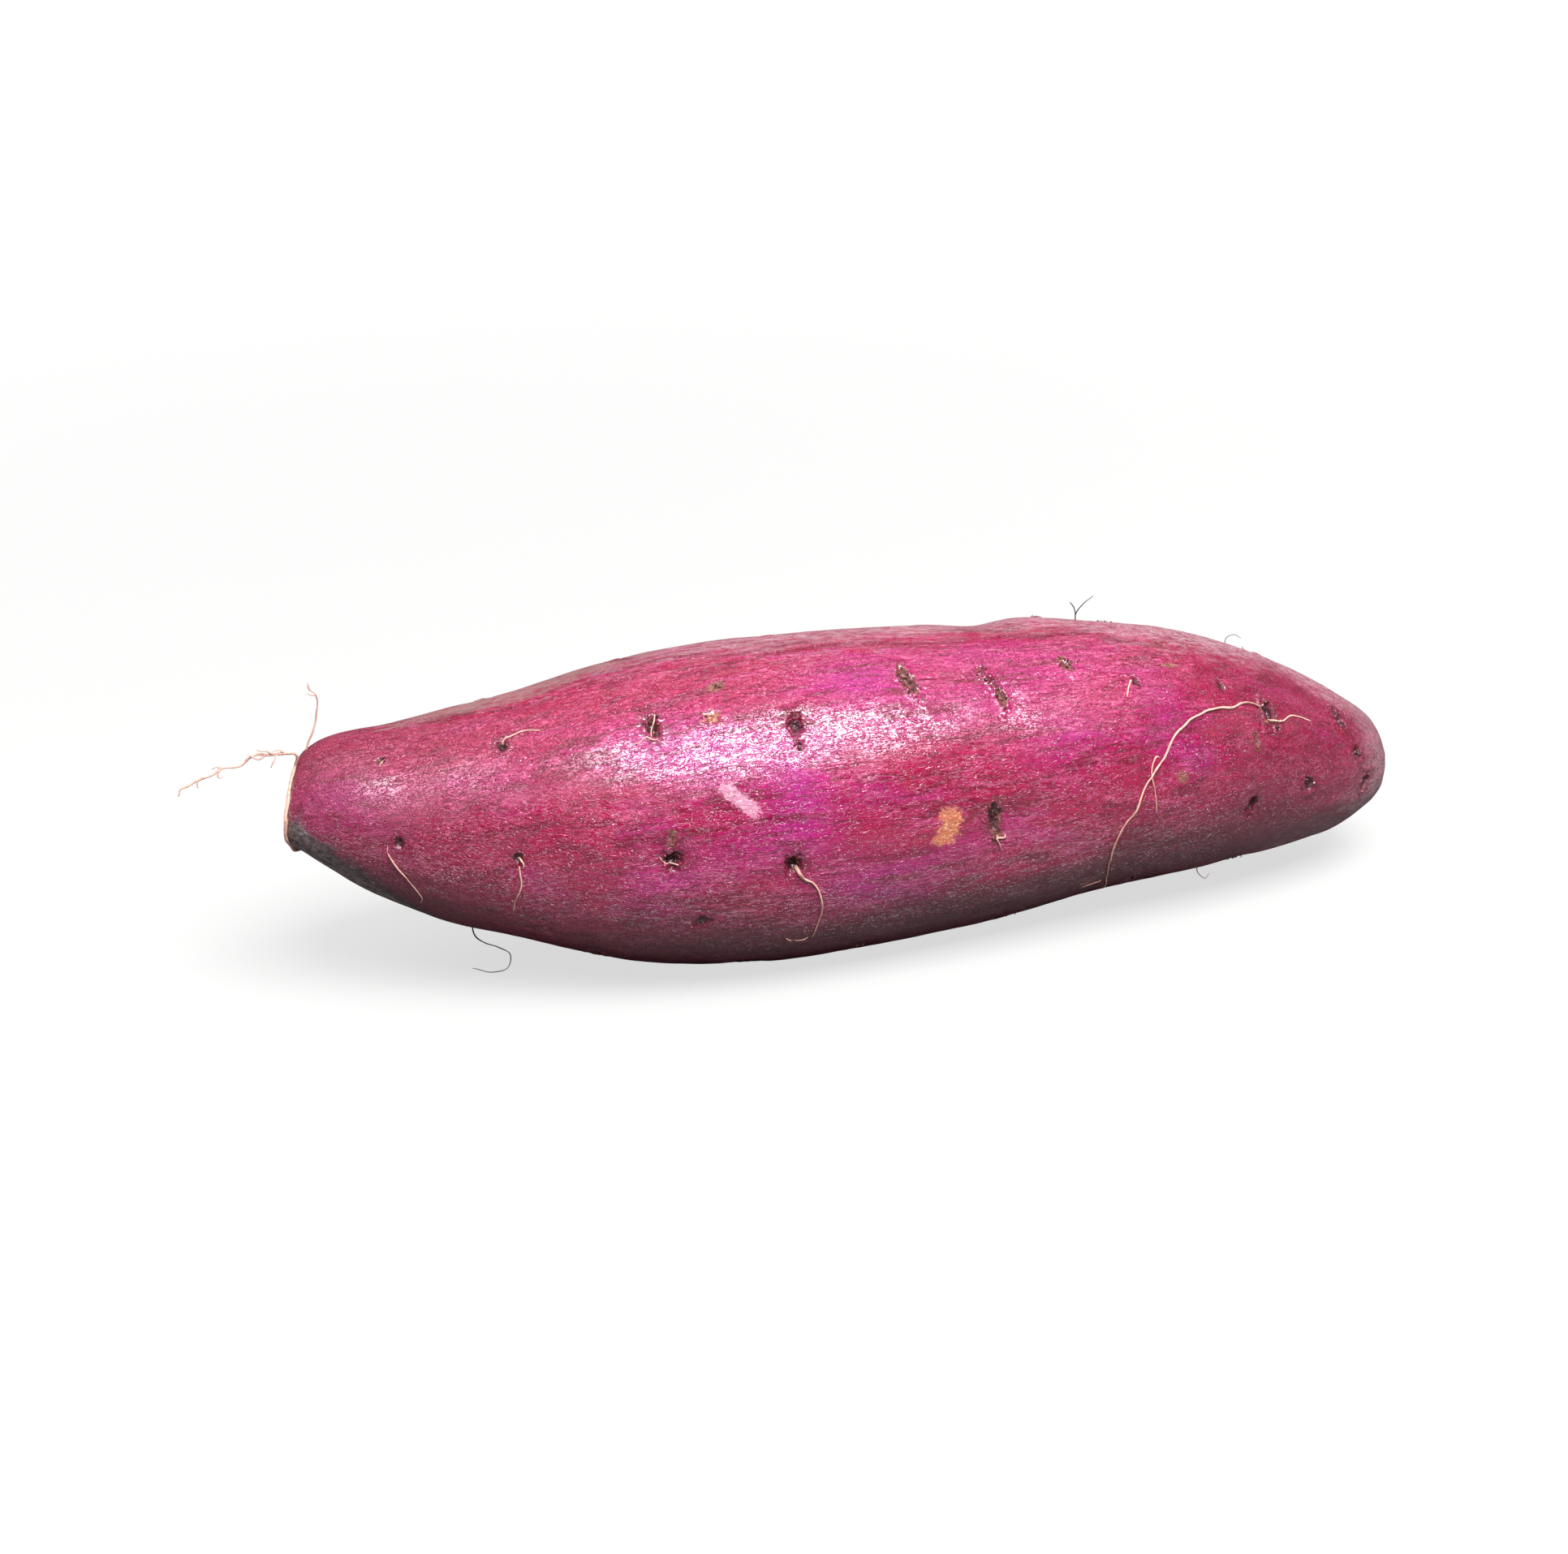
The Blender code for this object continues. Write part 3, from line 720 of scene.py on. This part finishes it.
def add_piece(name, mesh, material):
    """A piece of the object that rides on its one body."""
    mesh.shade_smooth()
    mesh.materials.append(material)
    piece = bpy.data.objects.new(name, mesh)
    bpy.context.scene.collection.objects.link(piece)
    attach(piece, "root")
    return piece


def add_mask(mesh, name, values):
    mesh.attributes.new(name, "FLOAT", "POINT").data.foreach_set("value", values.astype(np.float32))


def make_skin(material):
    """A sphere with its poles at the tuber's ends, finer at the scars, each corner on the skin."""
    bm = bmesh.new()
    bmesh.ops.create_uvsphere(bm, u_segments=BASE_AROUND, v_segments=BASE_ALONG, radius=1)
    share, around = sphere_places(bm)
    along, thick, _, _ = smooth_skin(share, around)
    beyond = np.full(len(share), 9.0)
    for scar in ALL_SCARS:
        beside, across = local_frame(along, around, thick, scar)
        b, a = turned(beside, across, scar.tilt)
        rounded = np.hypot(b, a * scar.half_along / scar.half_across)
        beyond = np.minimum(beyond, rounded - scar.half_along)
    bm.verts.ensure_lookup_table()
    fine = beyond < FINE_REACH_MM
    edges = [e for e in bm.edges if fine[e.verts[0].index] and fine[e.verts[1].index]]
    bmesh.ops.subdivide_edges(bm, edges=edges, cuts=FINE_CUTS, use_grid_fill=True)
    bmesh.ops.triangulate(bm, faces=[f for f in bm.faces if len(f.verts) > 4])
    places, facts = skin(*sphere_places(bm))
    for corner, place in zip(bm.verts, places):
        corner.co = place
    bmesh.ops.recalc_face_normals(bm, faces=bm.faces)
    mesh = bpy.data.meshes.new("skin")
    bm.to_mesh(mesh)
    bm.free()
    for name, values in facts.items():
        add_mask(mesh, name, values)
    return add_piece("skin", mesh, material)


class Strands:
    """Tubes along rows of points, gathered into one mesh with masks."""

    def __init__(self):
        self.corners, self.faces, self.grown, self.tone = [], [], [], []

    def add(self, points, radii, tone):
        """A closed tube along `points`. `tone` from 0 to 1 says how dark it is."""
        points = np.asarray(points, float)
        forward = np.gradient(points, axis=0)
        forward /= np.linalg.norm(forward, axis=1)[:, None]
        side = np.cross(forward[0], (0.0, 0.0, 1.0))
        if np.linalg.norm(side) < 0.1:
            side = np.cross(forward[0], (0.0, 1.0, 0.0))
        first = len(self.corners)
        turns = 2 * math.pi * np.arange(ROOT_SIDES) / ROOT_SIDES
        for i, (point, ahead) in enumerate(zip(points, forward)):
            side = side - ahead * (side @ ahead)
            side /= np.linalg.norm(side)
            up = np.cross(ahead, side)
            ring = point + radii[i] * (np.outer(np.cos(turns), side) + np.outer(np.sin(turns), up))
            self.corners += ring.tolist()
        rings = len(points)
        for i in range(rings - 1):
            low = first + i * ROOT_SIDES
            for k in range(ROOT_SIDES):
                after = (k + 1) % ROOT_SIDES
                self.faces.append(
                    (low + k, low + after, low + ROOT_SIDES + after, low + ROOT_SIDES + k)
                )
        self.faces.append(tuple(range(first + ROOT_SIDES - 1, first - 1, -1)))
        last = first + (rings - 1) * ROOT_SIDES
        self.faces.append(tuple(range(last, last + ROOT_SIDES)))
        self.grown += np.repeat(np.linspace(0, 1, rings), ROOT_SIDES).tolist()
        self.tone += [tone] * (rings * ROOT_SIDES)

    def piece(self, name, material, slot):
        mesh = bpy.data.meshes.new(name)
        mesh.from_pydata(self.corners, [], self.faces)
        add_mask(mesh, "grown", np.array(self.grown))
        add_mask(mesh, "tone", np.array(self.tone))
        return add_piece(name, mesh, material)


def fine_route(points, scale=1.0):
    """Closely spaced points on the smooth curve through `points`, and the distance along it."""
    points = np.asarray(points, float)
    points = np.vstack([2 * points[0] - points[1], points, 2 * points[-1] - points[-2]])
    knots = chords(points * scale)
    at = np.linspace(knots[1], knots[-2], max(6, round((knots[-2] - knots[1]) / ROOT_STEP)))
    return smooth_curve(points, knots, at), at - at[0]


def wander(distance, seed, size_mm):
    """Smooth noise along a rootlet, with bends of about that size."""
    return np.array([noise.noise(Vector((d / (size_mm * MM), seed, 0.5))) for d in distance])


def root_radii(thickness_mm, distance, seed):
    """Half thickness along a rootlet: it tapers, and swells and narrows a little."""
    share = distance / distance[-1]
    taper = 1 - (1 - ROOT_TIP_SHARE) * share
    end = np.sqrt(np.clip(1.02 - share, 0, 1) / ROOT_POINT).clip(0.15, 1)
    swell = 1 + ROOT_SWELL * wander(distance, seed + 40, BEND_SWELL_MM)
    return ROOT_SHARE * thickness_mm * MM / 2 * taper * end * swell


def add_skin_rootlets(strands, draw):
    """Rootlets that lie on the skin, and arch a little over it."""
    flat = np.array([1.0, math.radians(ROOT_HALF_THICKNESS)])
    for thickness, arch, places in SKIN_ROOTLETS.values():
        seed = draw.uniform(0, 50)
        route, distance = fine_route(places, flat)
        radii = root_radii(thickness, distance, seed)
        along = route[:, 0] + ROOT_WANDER_MM * MM * wander(distance, seed, BEND_ALONG_MM)
        aside = ROOT_WANDER_MM * wander(distance, seed + 9, BEND_AROUND_MM)
        aside += ROOT_FINE_WANDER_MM * wander(distance, seed + 5, BEND_FINE_MM)
        around = route[:, 1] + np.degrees(aside * MM / ROOT_HALF_THICKNESS)
        share = distance / distance[-1]
        clear = np.maximum(0, wander(distance, seed + 20, BEND_ARCH_MM))
        lift = 0.7 * radii + arch * MM * 2 * clear * np.sin(math.pi * share)
        lift -= (ROOT_SUNK + 0.7 * radii) * (1 - smoothstep(0, ROOT_OUT, distance))
        points, _ = skin(shares_of(along), around, lift)
        strands.add(points, radii, draw.random())


def add_free_rootlets(strands, draw):
    """Rootlets that stand clear, then the twigs on them."""
    grown = {}
    for name, (thickness, root, points) in FREE_ROOTLETS.items():
        seed = draw.uniform(0, 50)
        base = skin_place(*root)
        clear = [base + Vector(point) * MM for point in points]
        route, distance = fine_route([skin_place(*root, -ROOT_SUNK), *clear])
        radii = root_radii(thickness, distance, seed)
        free = smoothstep(0, ROOT_FREE, distance) * ROOT_WANDER_MM * MM
        for axis in range(3):
            route[:, axis] += free * wander(distance, seed + 7 * axis, BEND_FREE_MM)
        strands.add(route, radii, draw.random() + (DARK_HAIR_TONE if name in DARK_HAIRS else 0))
        grown[name] = base, route
    for thickness, parent, points in TWIGS.values():
        base, stem = grown[parent]
        places = [np.array(base + Vector(point) * MM) for point in points]
        places[0] = stem[np.linalg.norm(stem - places[0], axis=1).argmin()]
        route, distance = fine_route(places)
        strands.add(route, root_radii(thickness, distance, draw.uniform(0, 50)), draw.random())


def make_rootlets(material):
    strands = Strands()
    draw = random.Random(SEED)
    add_skin_rootlets(strands, draw)
    add_free_rootlets(strands, draw)
    return strands.piece("rootlets", material, "rootlet")


def make_crumbs(material):
    """Small rough lumps and slivers of cork in the scars, gathered into one mesh."""
    draw = random.Random(SEED + 2)
    bm = bmesh.new()
    bmesh.ops.create_icosphere(bm, subdivisions=2, radius=1)
    ball = np.array([corner.co for corner in bm.verts])
    ball_faces = np.array([[corner.index for corner in face.verts] for face in bm.faces])
    bm.free()
    spots, shapes = [], []
    for scar in ALL_SCARS:
        thick = float(np.interp(scar.along, PROFILE[:, 0], PROFILE[:, 1]))
        for _ in range(scar.crumbs):
            b = draw.gauss(0, CRUMB_SPREAD) * scar.half_along
            a = draw.gauss(0, CRUMB_SPREAD) * scar.half_across
            beside, across = turned(b, a, -scar.tilt)
            spots.append((scar.along + beside * MM, scar.around + math.degrees(across * MM / thick)))
            sizes = [draw.uniform(*CRUMB_SIZES) for _ in range(3)]
            if draw.random() < SLIVER_SHARE:
                sizes = [SLIVER_LENGTH * draw.uniform(*SLIVER_VARIES), *SLIVER_SIDES]
            turn = Euler([draw.uniform(0, 2 * math.pi) for _ in range(3)]).to_matrix()
            shapes.append((np.array(sizes) * MM, np.array(turn), draw.uniform(0, 90), draw.random()))
    along, around = np.array(spots).T
    places, _ = skin(shares_of(along), around, CRUMB_LIFT)
    corners, faces, tones = [], [], []
    for place, (sizes, turn, seed, tone) in zip(places, shapes):
        dented = [Vector(corner) * CRUMB_DENT_SCALE + Vector((seed, 0, 0)) for corner in ball]
        dents = np.array([1 + CRUMB_DENTS * noise.noise(spot) for spot in dented])
        faces += (ball_faces + len(corners)).tolist()
        lump = (ball * dents[:, None] * sizes) @ turn.T + place
        lump[:, 2] = np.maximum(lump[:, 2], 0)
        corners += lump.tolist()
        tones += [tone] * len(ball)
    mesh = bpy.data.meshes.new("scar_crumbs")
    mesh.from_pydata(corners, [], faces)
    add_mask(mesh, "tone", np.array(tones))
    return add_piece("scar_crumbs", mesh, material)


class Tree:
    """A short way to write the nodes of a material."""

    def __init__(self, name):
        self.material = bpy.data.materials.new(name)
        self.material.use_nodes = True
        self.nodes = self.material.node_tree.nodes
        self.links = self.material.node_tree.links
        self.shader = self.nodes["Principled BSDF"]

    def put(self, socket, value):
        if isinstance(value, bpy.types.NodeSocket):
            self.links.new(value, socket)
        else:
            socket.default_value = value

    def set(self, **values):
        """Values for the shader's sockets, with _ for a space in a name."""
        for name, value in values.items():
            self.put(self.shader.inputs[name.replace("_", " ")], value)

    def node(self, kind, inputs, output=0, **settings):
        made = self.nodes.new("ShaderNode" + kind)
        for name, value in settings.items():
            setattr(made, name, value)
        for name, value in inputs.items():
            self.put(made.inputs[name], value)
        return made.outputs[output]

    def mask(self, name):
        return self.node("Attribute", {}, "Fac", attribute_name=name)

    def noise(self, sizes_mm, detail=2.0, roughness=0.5, distortion=0.0):
        """Noise in the object's own space, with features of those sizes along X, Y and Z."""
        scale = tuple(1 / (size * MM) for size in sizes_mm)
        place = {0: self.node("TexCoord", {}, "Object"), 1: scale}
        inputs = {
            "Vector": self.node("VectorMath", place, operation="MULTIPLY"),
            "Scale": 1.0,
            "Detail": detail,
            "Roughness": roughness,
            "Distortion": distortion,
        }
        return self.node("TexNoise", inputs)

    def math(self, operation, a, b=0.0, clamp=False):
        return self.node("Math", {0: a, 1: b}, operation=operation, use_clamp=clamp)

    def times(self, *values):
        """The product of all the values."""
        product = values[0]
        for value in values[1:]:
            product = self.math("MULTIPLY", product, value)
        return product

    def total(self, *values):
        """The sum of all the values."""
        total = values[0]
        for value in values[1:]:
            total = self.math("ADD", total, value)
        return total

    def from_middle(self, noise_value):
        """How far a noise is from its middle, which is 0 along winding lines."""
        return self.math("ABSOLUTE", self.math("SUBTRACT", noise_value, 0.5))

    def ramp(self, value, low, high, to_low=0.0, to_high=1.0):
        """A smooth step of value from low to high."""
        inputs = {"Value": value, "From Min": low, "From Max": high, "To Min": to_low, "To Max": to_high}
        return self.node("MapRange", inputs, interpolation_type="SMOOTHSTEP")

    def mix(self, factor, a, b):
        """A mix of two colours. The node takes colours in sockets 6 and 7, and gives one in 2."""
        return self.node("Mix", {0: factor, 6: a, 7: b}, 2, data_type="RGBA")

    def ragged(self, name, grain, low, high, strength=1.0):
        """A mask with its edge broken up by a grain."""
        shift = self.times(self.math("SUBTRACT", grain, 0.5), strength)
        return self.ramp(self.math("ADD", self.mask(name), shift), low, high)

    def bump(self, height, strength, distance):
        return self.node("Bump", {"Strength": strength, "Distance": distance, "Height": height})


class SkinTree(Tree):
    """The skin's material, painted in layers, with the noises that several of them share."""

    def __init__(self):
        super().__init__("purple_skin")
        self.colour = CRIMSON
        self.speck = self.noise((1.0, 0.60, 0.60), detail=3, roughness=0.7)
        self.grain = self.noise((0.8, 0.8, 0.8), detail=4, roughness=0.75)
        self.coarse = self.noise((2.2, 2.0, 2.0), detail=3, roughness=0.65)
        self.strands = self.noise((6.5, 0.55, 0.55), detail=3, roughness=0.65, distortion=0.5)
        self.bark = self.noise((1.9, 0.55, 0.55), detail=4, roughness=0.7, distortion=0.6)
        self.earth_grain = self.noise((1.3, 0.8, 0.8), detail=5, roughness=0.75)

    def lay(self, factor, colour):
        """Paint a colour over what is there."""
        self.colour = self.mix(factor, self.colour, colour)


def paint_peel(t):
    """Crimson and magenta, with painted shade underneath and at the ends. Returns where the shade
    underneath is painted.
    """
    broad = t.noise((24, 8, 8), detail=3, roughness=0.6, distortion=0.6)
    blotches = t.ramp(broad, 0.50, 0.72, 0, 0.45)
    t.lay(t.math("ADD", t.mask("magenta"), blotches, clamp=True), MAGENTA)
    # Painted shade underneath, in a dull dark purple.
    low = t.ragged("low", broad, 0.30, 1.0, 0.8)
    t.lay(t.times(low, 0.85), UNDERSIDE_SHADE_PURPLE)
    # Painted shade at both ends, in a darker red.
    t.lay(t.times(t.mask("end"), 0.55), END_SHADE_RED)
    return low


def paint_streaks(t, low):
    """Dark bands, pale strands and dashes along the tuber, fewer where it is low or ends."""
    band = t.noise((20, 2.4, 2.4), detail=4, roughness=0.65, distortion=1.0)
    t.lay(t.ramp(band, 0.50, 0.62, 0, 0.85), DEEP)
    area = t.ramp(t.noise((15, 6, 6), detail=2, distortion=0.8), 0.42, 0.58, 0.15, 1.0)
    calm = t.times(t.ramp(low, 0, 1, 1.0, 0.35), t.ramp(t.mask("end"), 0, 1, 1.0, 0.50))
    t.lay(t.times(t.ramp(t.strands, 0.54, 0.64), area, calm, 0.50), PALE)
    t.lay(t.ramp(t.strands, 0.46, 0.36, 0, 0.60), DEEP)
    dashes = t.noise((1.3, 0.40, 0.40), detail=3, roughness=0.7, distortion=1.0)
    t.lay(t.times(t.ramp(dashes, 0.52, 0.62), area, calm, 0.70), PALE)
    t.lay(t.ramp(t.speck, 0.43, 0.32, 0, 0.60), DEEP)


def paint_dry_skin(t):
    """Dust with painted sheen, flaking bark, and the worn tip, grey with dust and painted sheen. Returns
    where the skin is dusty, sheened or flaking, and the tip's mask.
    """
    streak = t.noise((8, 1.3, 1.3), detail=4, roughness=0.65, distortion=0.5)
    # Grey dust, with a painted sheen on the top rim and the tip.
    dust_and_sheen = t.ragged("dust_and_sheen", streak, 0.25, 1.15, 1.5)
    t.lay(t.times(dust_and_sheen, t.ramp(t.bark, 0.42, 0.58, 0.20, 0.85)), DUST_AND_SHEEN)
    flaky = t.ragged("bark", streak, 0.40, 1.15, 2.2)
    t.lay(t.times(flaky, t.ramp(t.bark, 0.40, 0.56, 0.20, 0.90)), DRY_BARK)
    dust_and_sheen = t.math("MAXIMUM", dust_and_sheen, flaky)
    t.lay(t.times(dust_and_sheen, t.ramp(t.bark, 0.44, 0.34), 0.8), DEEP)
    # The tip greyed with dust and painted sheen.
    tip = t.ragged("tip", t.coarse, 0.25, 1.0, 0.5)
    t.lay(t.times(tip, t.ramp(t.bark, 0.36, 0.60, 0.3, 0.85)), TIP_GREY_AND_SHEEN)
    return dust_and_sheen, tip


def paint_bruises(t):
    """Bare flesh, pink and orange, with uneven edges, then spots of cork. Returns the flesh's mask."""
    torn = t.noise((1.1, 0.8, 0.8), detail=5, roughness=0.85)
    flecks = t.noise((0.5, 0.4, 0.4), detail=2, roughness=0.6)
    pink = t.ragged("pink", torn, 0.10, -0.14, 3.0)
    flesh = t.mix(t.ramp(flecks, 0.42, 0.60), PINK_BLUSH, PINK_FLESH)
    t.lay(pink, t.mix(t.ramp(torn, 0.60, 0.50), flesh, PINK_EDGE))
    orange = t.ragged("orange", torn, 0.12, -0.18, 3.2)
    flesh = t.mix(t.ramp(flecks, 0.40, 0.58), ORANGE_DEEP, ORANGE_FLESH)
    flesh = t.mix(t.ramp(flecks, 0.58, 0.66, 0, 0.8), flesh, ORANGE_PALE)
    flesh = t.mix(t.ramp(t.mask("orange"), -0.40, 0.10, 0, 0.5), flesh, ORANGE_EDGE)
    t.lay(orange, flesh)
    tan = t.ragged("tan", t.grain, 0.20, -0.30, 1.4)
    t.lay(t.times(tan, 0.9), t.mix(t.ramp(t.speck, 0.42, 0.58), TAN_DARK, TAN_CORK))
    star = t.ragged("star", t.grain, 0.35, -0.35, 3.0)
    t.lay(star, t.mix(t.ramp(flecks, 0.42, 0.58), STAR_DARK, STAR_LIGHT))
    return t.math("ADD", pink, orange)


def paint_scars(t):
    """Root scars: a ring of painted shade, torn cork and the pit."""
    # Painted shade around the pits.
    t.lay(t.ragged("shade_ring", t.coarse, 0.25, 1.1, 0.5), DEEP)
    pale_cork = t.mix(t.ramp(t.grain, 0.45, 0.6), OLIVE_CORK, TAN_CORK)
    torn_cork = t.mix(t.ramp(t.speck, 0.40, 0.62), BROWN_CORK, pale_cork)
    t.lay(t.times(t.ragged("cork", t.grain, 0.38, 0.62, 1.3), 0.9), torn_cork)
    t.lay(t.times(t.ragged("pit", t.grain, 0.30, 0.80, 0.9), 0.96), PIT_DARK)


def paint_earth(t):
    """Earth, and the blunt end's dry face. Returns the mask of both."""
    clods = t.math("ADD", t.times(t.earth_grain, 0.5), t.times(t.coarse, 0.5))
    earth = t.ragged("earth", clods, 0.42, 0.80, 2.0)
    soil = t.mix(t.ramp(t.earth_grain, 0.40, 0.62), EARTH_DARK, EARTH_LIGHT)
    edge = t.times(t.ramp(t.mask("earth"), 1.0, 0.60), t.ramp(t.coarse, 0.42, 0.54))
    soil = t.mix(edge, soil, EARTH_DARK)
    soil = t.mix(t.ramp(t.speck, 0.50, 0.62, 0, 0.5), soil, EARTH_RED)
    t.lay(t.times(earth, 0.94), soil)
    cut = t.ragged("cut", t.grain, 0.35, 0.60, 0.6)
    wood = t.mix(t.ramp(t.earth_grain, 0.38, 0.60), WOOD_DARK, WOOD_LIGHT)
    wood = t.mix(t.ramp(t.coarse, 0.48, 0.62, 0, 0.8), wood, WOOD_RED)
    t.lay(t.times(cut, 0.9), wood)
    return t.math("ADD", earth, cut)


def finish_skin(t, dust_and_sheen, tip, flesh, earth):
    """Pebbled, folded skin with painted shade in its creases, which shines where it isn't dry."""
    dust_sheen_and_tip = t.math("ADD", dust_and_sheen, t.times(tip, 0.6))
    dry = t.math("ADD", dust_sheen_and_tip, t.math("ADD", earth, flesh), clamp=True)
    peel = t.noise((0.82, 0.62, 0.62), detail=1.2, roughness=0.5, distortion=1.1)
    crease = t.from_middle(peel)
    pebbles = t.ramp(crease, 0.0, 0.060)
    fine = t.noise((0.42, 0.28, 0.28), detail=2, roughness=0.6)
    wrinkles = t.noise((3.2, 0.9, 0.9), detail=2, roughness=0.5, distortion=1.4)
    folds = t.ramp(t.from_middle(wrinkles), 0.0, 0.05)
    height = t.total(
        t.times(pebbles, 0.60),
        t.times(fine, 0.08),
        t.times(t.strands, 0.3),
        t.times(folds, 0.45),
        t.times(t.bark, dust_and_sheen, 1.2),
        t.times(t.earth_grain, earth, 2.0),
    )
    # Painted shade in the creases and folds, but not on dry skin.
    crease_shade = t.math(
        "MAXIMUM", t.ramp(crease, 0.030, 0.0, 0, 0.45), t.ramp(folds, 0.4, 0.0, 0, 0.30)
    )
    t.lay(t.times(crease_shade, t.math("SUBTRACT", 1.0, dry, clamp=True)), DEEP)
    gloss = t.ramp(t.noise((9, 5, 5), detail=3), 0.42, 0.62, 0.06, 0.22)
    matte = t.math("ADD", t.times(dry, 0.34), t.times(t.mask("end"), 0.26))
    t.set(Base_Color=t.colour, Roughness=t.math("ADD", gloss, matte, clamp=True))
    t.set(Normal=t.bump(height, 1.0, SKIN_BUMP))
    t.set(Specular_IOR_Level=1.0, Specular_Tint=SHINE_TINT)


def make_skin_material():
    t = SkinTree()
    low = paint_peel(t)
    paint_streaks(t, low)
    dust_and_sheen, tip = paint_dry_skin(t)
    flesh = paint_bruises(t)
    paint_scars(t)
    earth = paint_earth(t)
    finish_skin(t, dust_and_sheen, tip, flesh, earth)
    return t.material


def make_root_material():
    """Rootlets: reddish where they grow out of the skin, then cream and tan, or dark hairs."""
    t = Tree("rootlet_bark")
    grain = t.noise((1.1, 1.1, 1.1), detail=4, roughness=0.7)
    fine = t.noise((0.25, 0.25, 0.25), detail=2)
    old = t.math("ADD", t.ramp(grain, 0.46, 0.74), t.times(t.mask("tone"), 0.20), clamp=True)
    colour = t.mix(t.times(old, 0.8), ROOT_LIGHT, ROOT_DARK)
    colour = t.mix(t.ramp(t.mask("tone"), 1.4, 1.8), colour, HAIR_GREY)
    colour = t.mix(t.ramp(t.mask("grown"), 0.14, 0.0, 0, 0.85), colour, ROOT_BASE)
    t.set(Base_Color=colour, Normal=t.bump(fine, 0.7, CORK_BUMP))
    t.set(Roughness=0.55, Specular_IOR_Level=0.4)
    return t.material


def make_crumb_material():
    """Crumbs from dark to pale by their tone, and a few of bare flesh."""
    t = Tree("scar_cork")
    tone = t.mask("tone")
    grain = t.noise((0.2, 0.2, 0.2), detail=2)
    colour = t.mix(t.ramp(tone, 0.15, 0.35), PIT_DARK, BROWN_CORK)
    colour = t.mix(t.ramp(tone, 0.50, 0.60), colour, OLIVE_CORK)
    colour = t.mix(t.ramp(tone, 0.65, 0.85), colour, TAN_CORK)
    colour = t.mix(t.ramp(tone, 0.94, 0.97), colour, PINK_FLESH)
    colour = t.mix(t.ramp(grain, 0.5, 0.7, 0, 0.5), colour, BROWN_CORK)
    t.set(Base_Color=colour, Normal=t.bump(grain, 0.8, CORK_BUMP))
    t.set(Roughness=0.30, Specular_IOR_Level=0.8)
    return t.material


def make_floor():
    t = Tree("pale_floor")
    apart = t.node("VectorMath", {0: t.node("TexCoord", {}, "Object")}, "Value", operation="LENGTH")
    glow = t.ramp(apart, *FLOOR_GLOW_FADE, FLOOR_NEAR, FLOOR_FAR)
    shown = t.times(glow, t.node("LightPath", {}, "Is Camera Ray"))
    t.set(Base_Color=FLOOR_COLOUR, Roughness=0.9, Specular_IOR_Level=0.1)
    t.set(Emission_Color=WHITE, Emission_Strength=shown)
    bpy.ops.mesh.primitive_plane_add(size=FLOOR_SIZE, location=(0, 0, 0))
    floor = bpy.context.object
    floor.name = "floor"
    floor.data.materials.append(t.material)


def aim(thing, target):
    """Turn a lamp or a camera at its place towards the target."""
    thing.rotation_mode = "QUATERNION"
    thing.rotation_quaternion = (target - Vector(thing.location)).to_track_quat("-Z", "Y")


def add_lamp(name, place, target, size, watts):
    lamp = bpy.data.lights.new(name, "AREA")
    lamp.shape = "RECTANGLE"
    lamp.size, lamp.size_y = size
    lamp.energy = watts
    holder = bpy.data.objects.new(name, lamp)
    holder.location = place
    aim(holder, Vector(target))
    bpy.context.scene.collection.objects.link(holder)


def make_lights():
    world = bpy.data.worlds.new("studio")
    bpy.context.scene.world = world
    world.use_nodes = True
    light = world.node_tree.nodes["Background"]
    light.inputs["Color"].default_value = WHITE
    seen = world.node_tree.nodes.new("ShaderNodeLightPath").outputs["Is Camera Ray"]
    strength = world.node_tree.nodes.new("ShaderNodeMapRange")
    strength.inputs["To Min"].default_value = WORLD_LIGHT
    strength.inputs["To Max"].default_value = WORLD_SEEN
    world.node_tree.links.new(seen, strength.inputs["Value"])
    world.node_tree.links.new(strength.outputs[0], light.inputs["Strength"])
    for name, lamp in LAMPS.items():
        add_lamp(name, *lamp)


def set_colours():
    """Plain colours, so that the render's are the materials' own."""
    bpy.context.scene.view_settings.view_transform = "Standard"


def make_camera():
    a, e = math.radians(CAMERA_AZIMUTH), math.radians(CAMERA_ELEVATION)
    back = Vector((math.sin(a) * math.cos(e), -math.cos(a) * math.cos(e), math.sin(e)))
    camera = bpy.data.objects.new("camera", bpy.data.cameras.new("camera"))
    camera.data.sensor_width = CAMERA_SENSOR_MM
    camera.data.lens = CAMERA_LENS_MM
    camera.data.clip_start, camera.data.clip_end = CAMERA_CLIP
    camera.location = Vector(CAMERA_TARGET) + back * CAMERA_DISTANCE
    aim(camera, Vector(CAMERA_TARGET))
    bpy.context.scene.collection.objects.link(camera)
    bpy.context.scene.camera = camera


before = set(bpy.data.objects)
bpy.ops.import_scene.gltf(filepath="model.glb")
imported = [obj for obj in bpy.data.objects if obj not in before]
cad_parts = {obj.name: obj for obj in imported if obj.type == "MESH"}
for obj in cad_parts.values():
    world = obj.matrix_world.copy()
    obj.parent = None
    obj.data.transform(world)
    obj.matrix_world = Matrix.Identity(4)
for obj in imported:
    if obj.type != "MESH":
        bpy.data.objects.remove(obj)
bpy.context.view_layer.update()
set_colours()
make_camera()
make_lights()
make_floor()
skin_piece = make_skin(make_skin_material())
root_piece = make_rootlets(make_root_material())
make_crumbs(make_crumb_material())
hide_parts("sweet_potato")
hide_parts("sweet_potato")
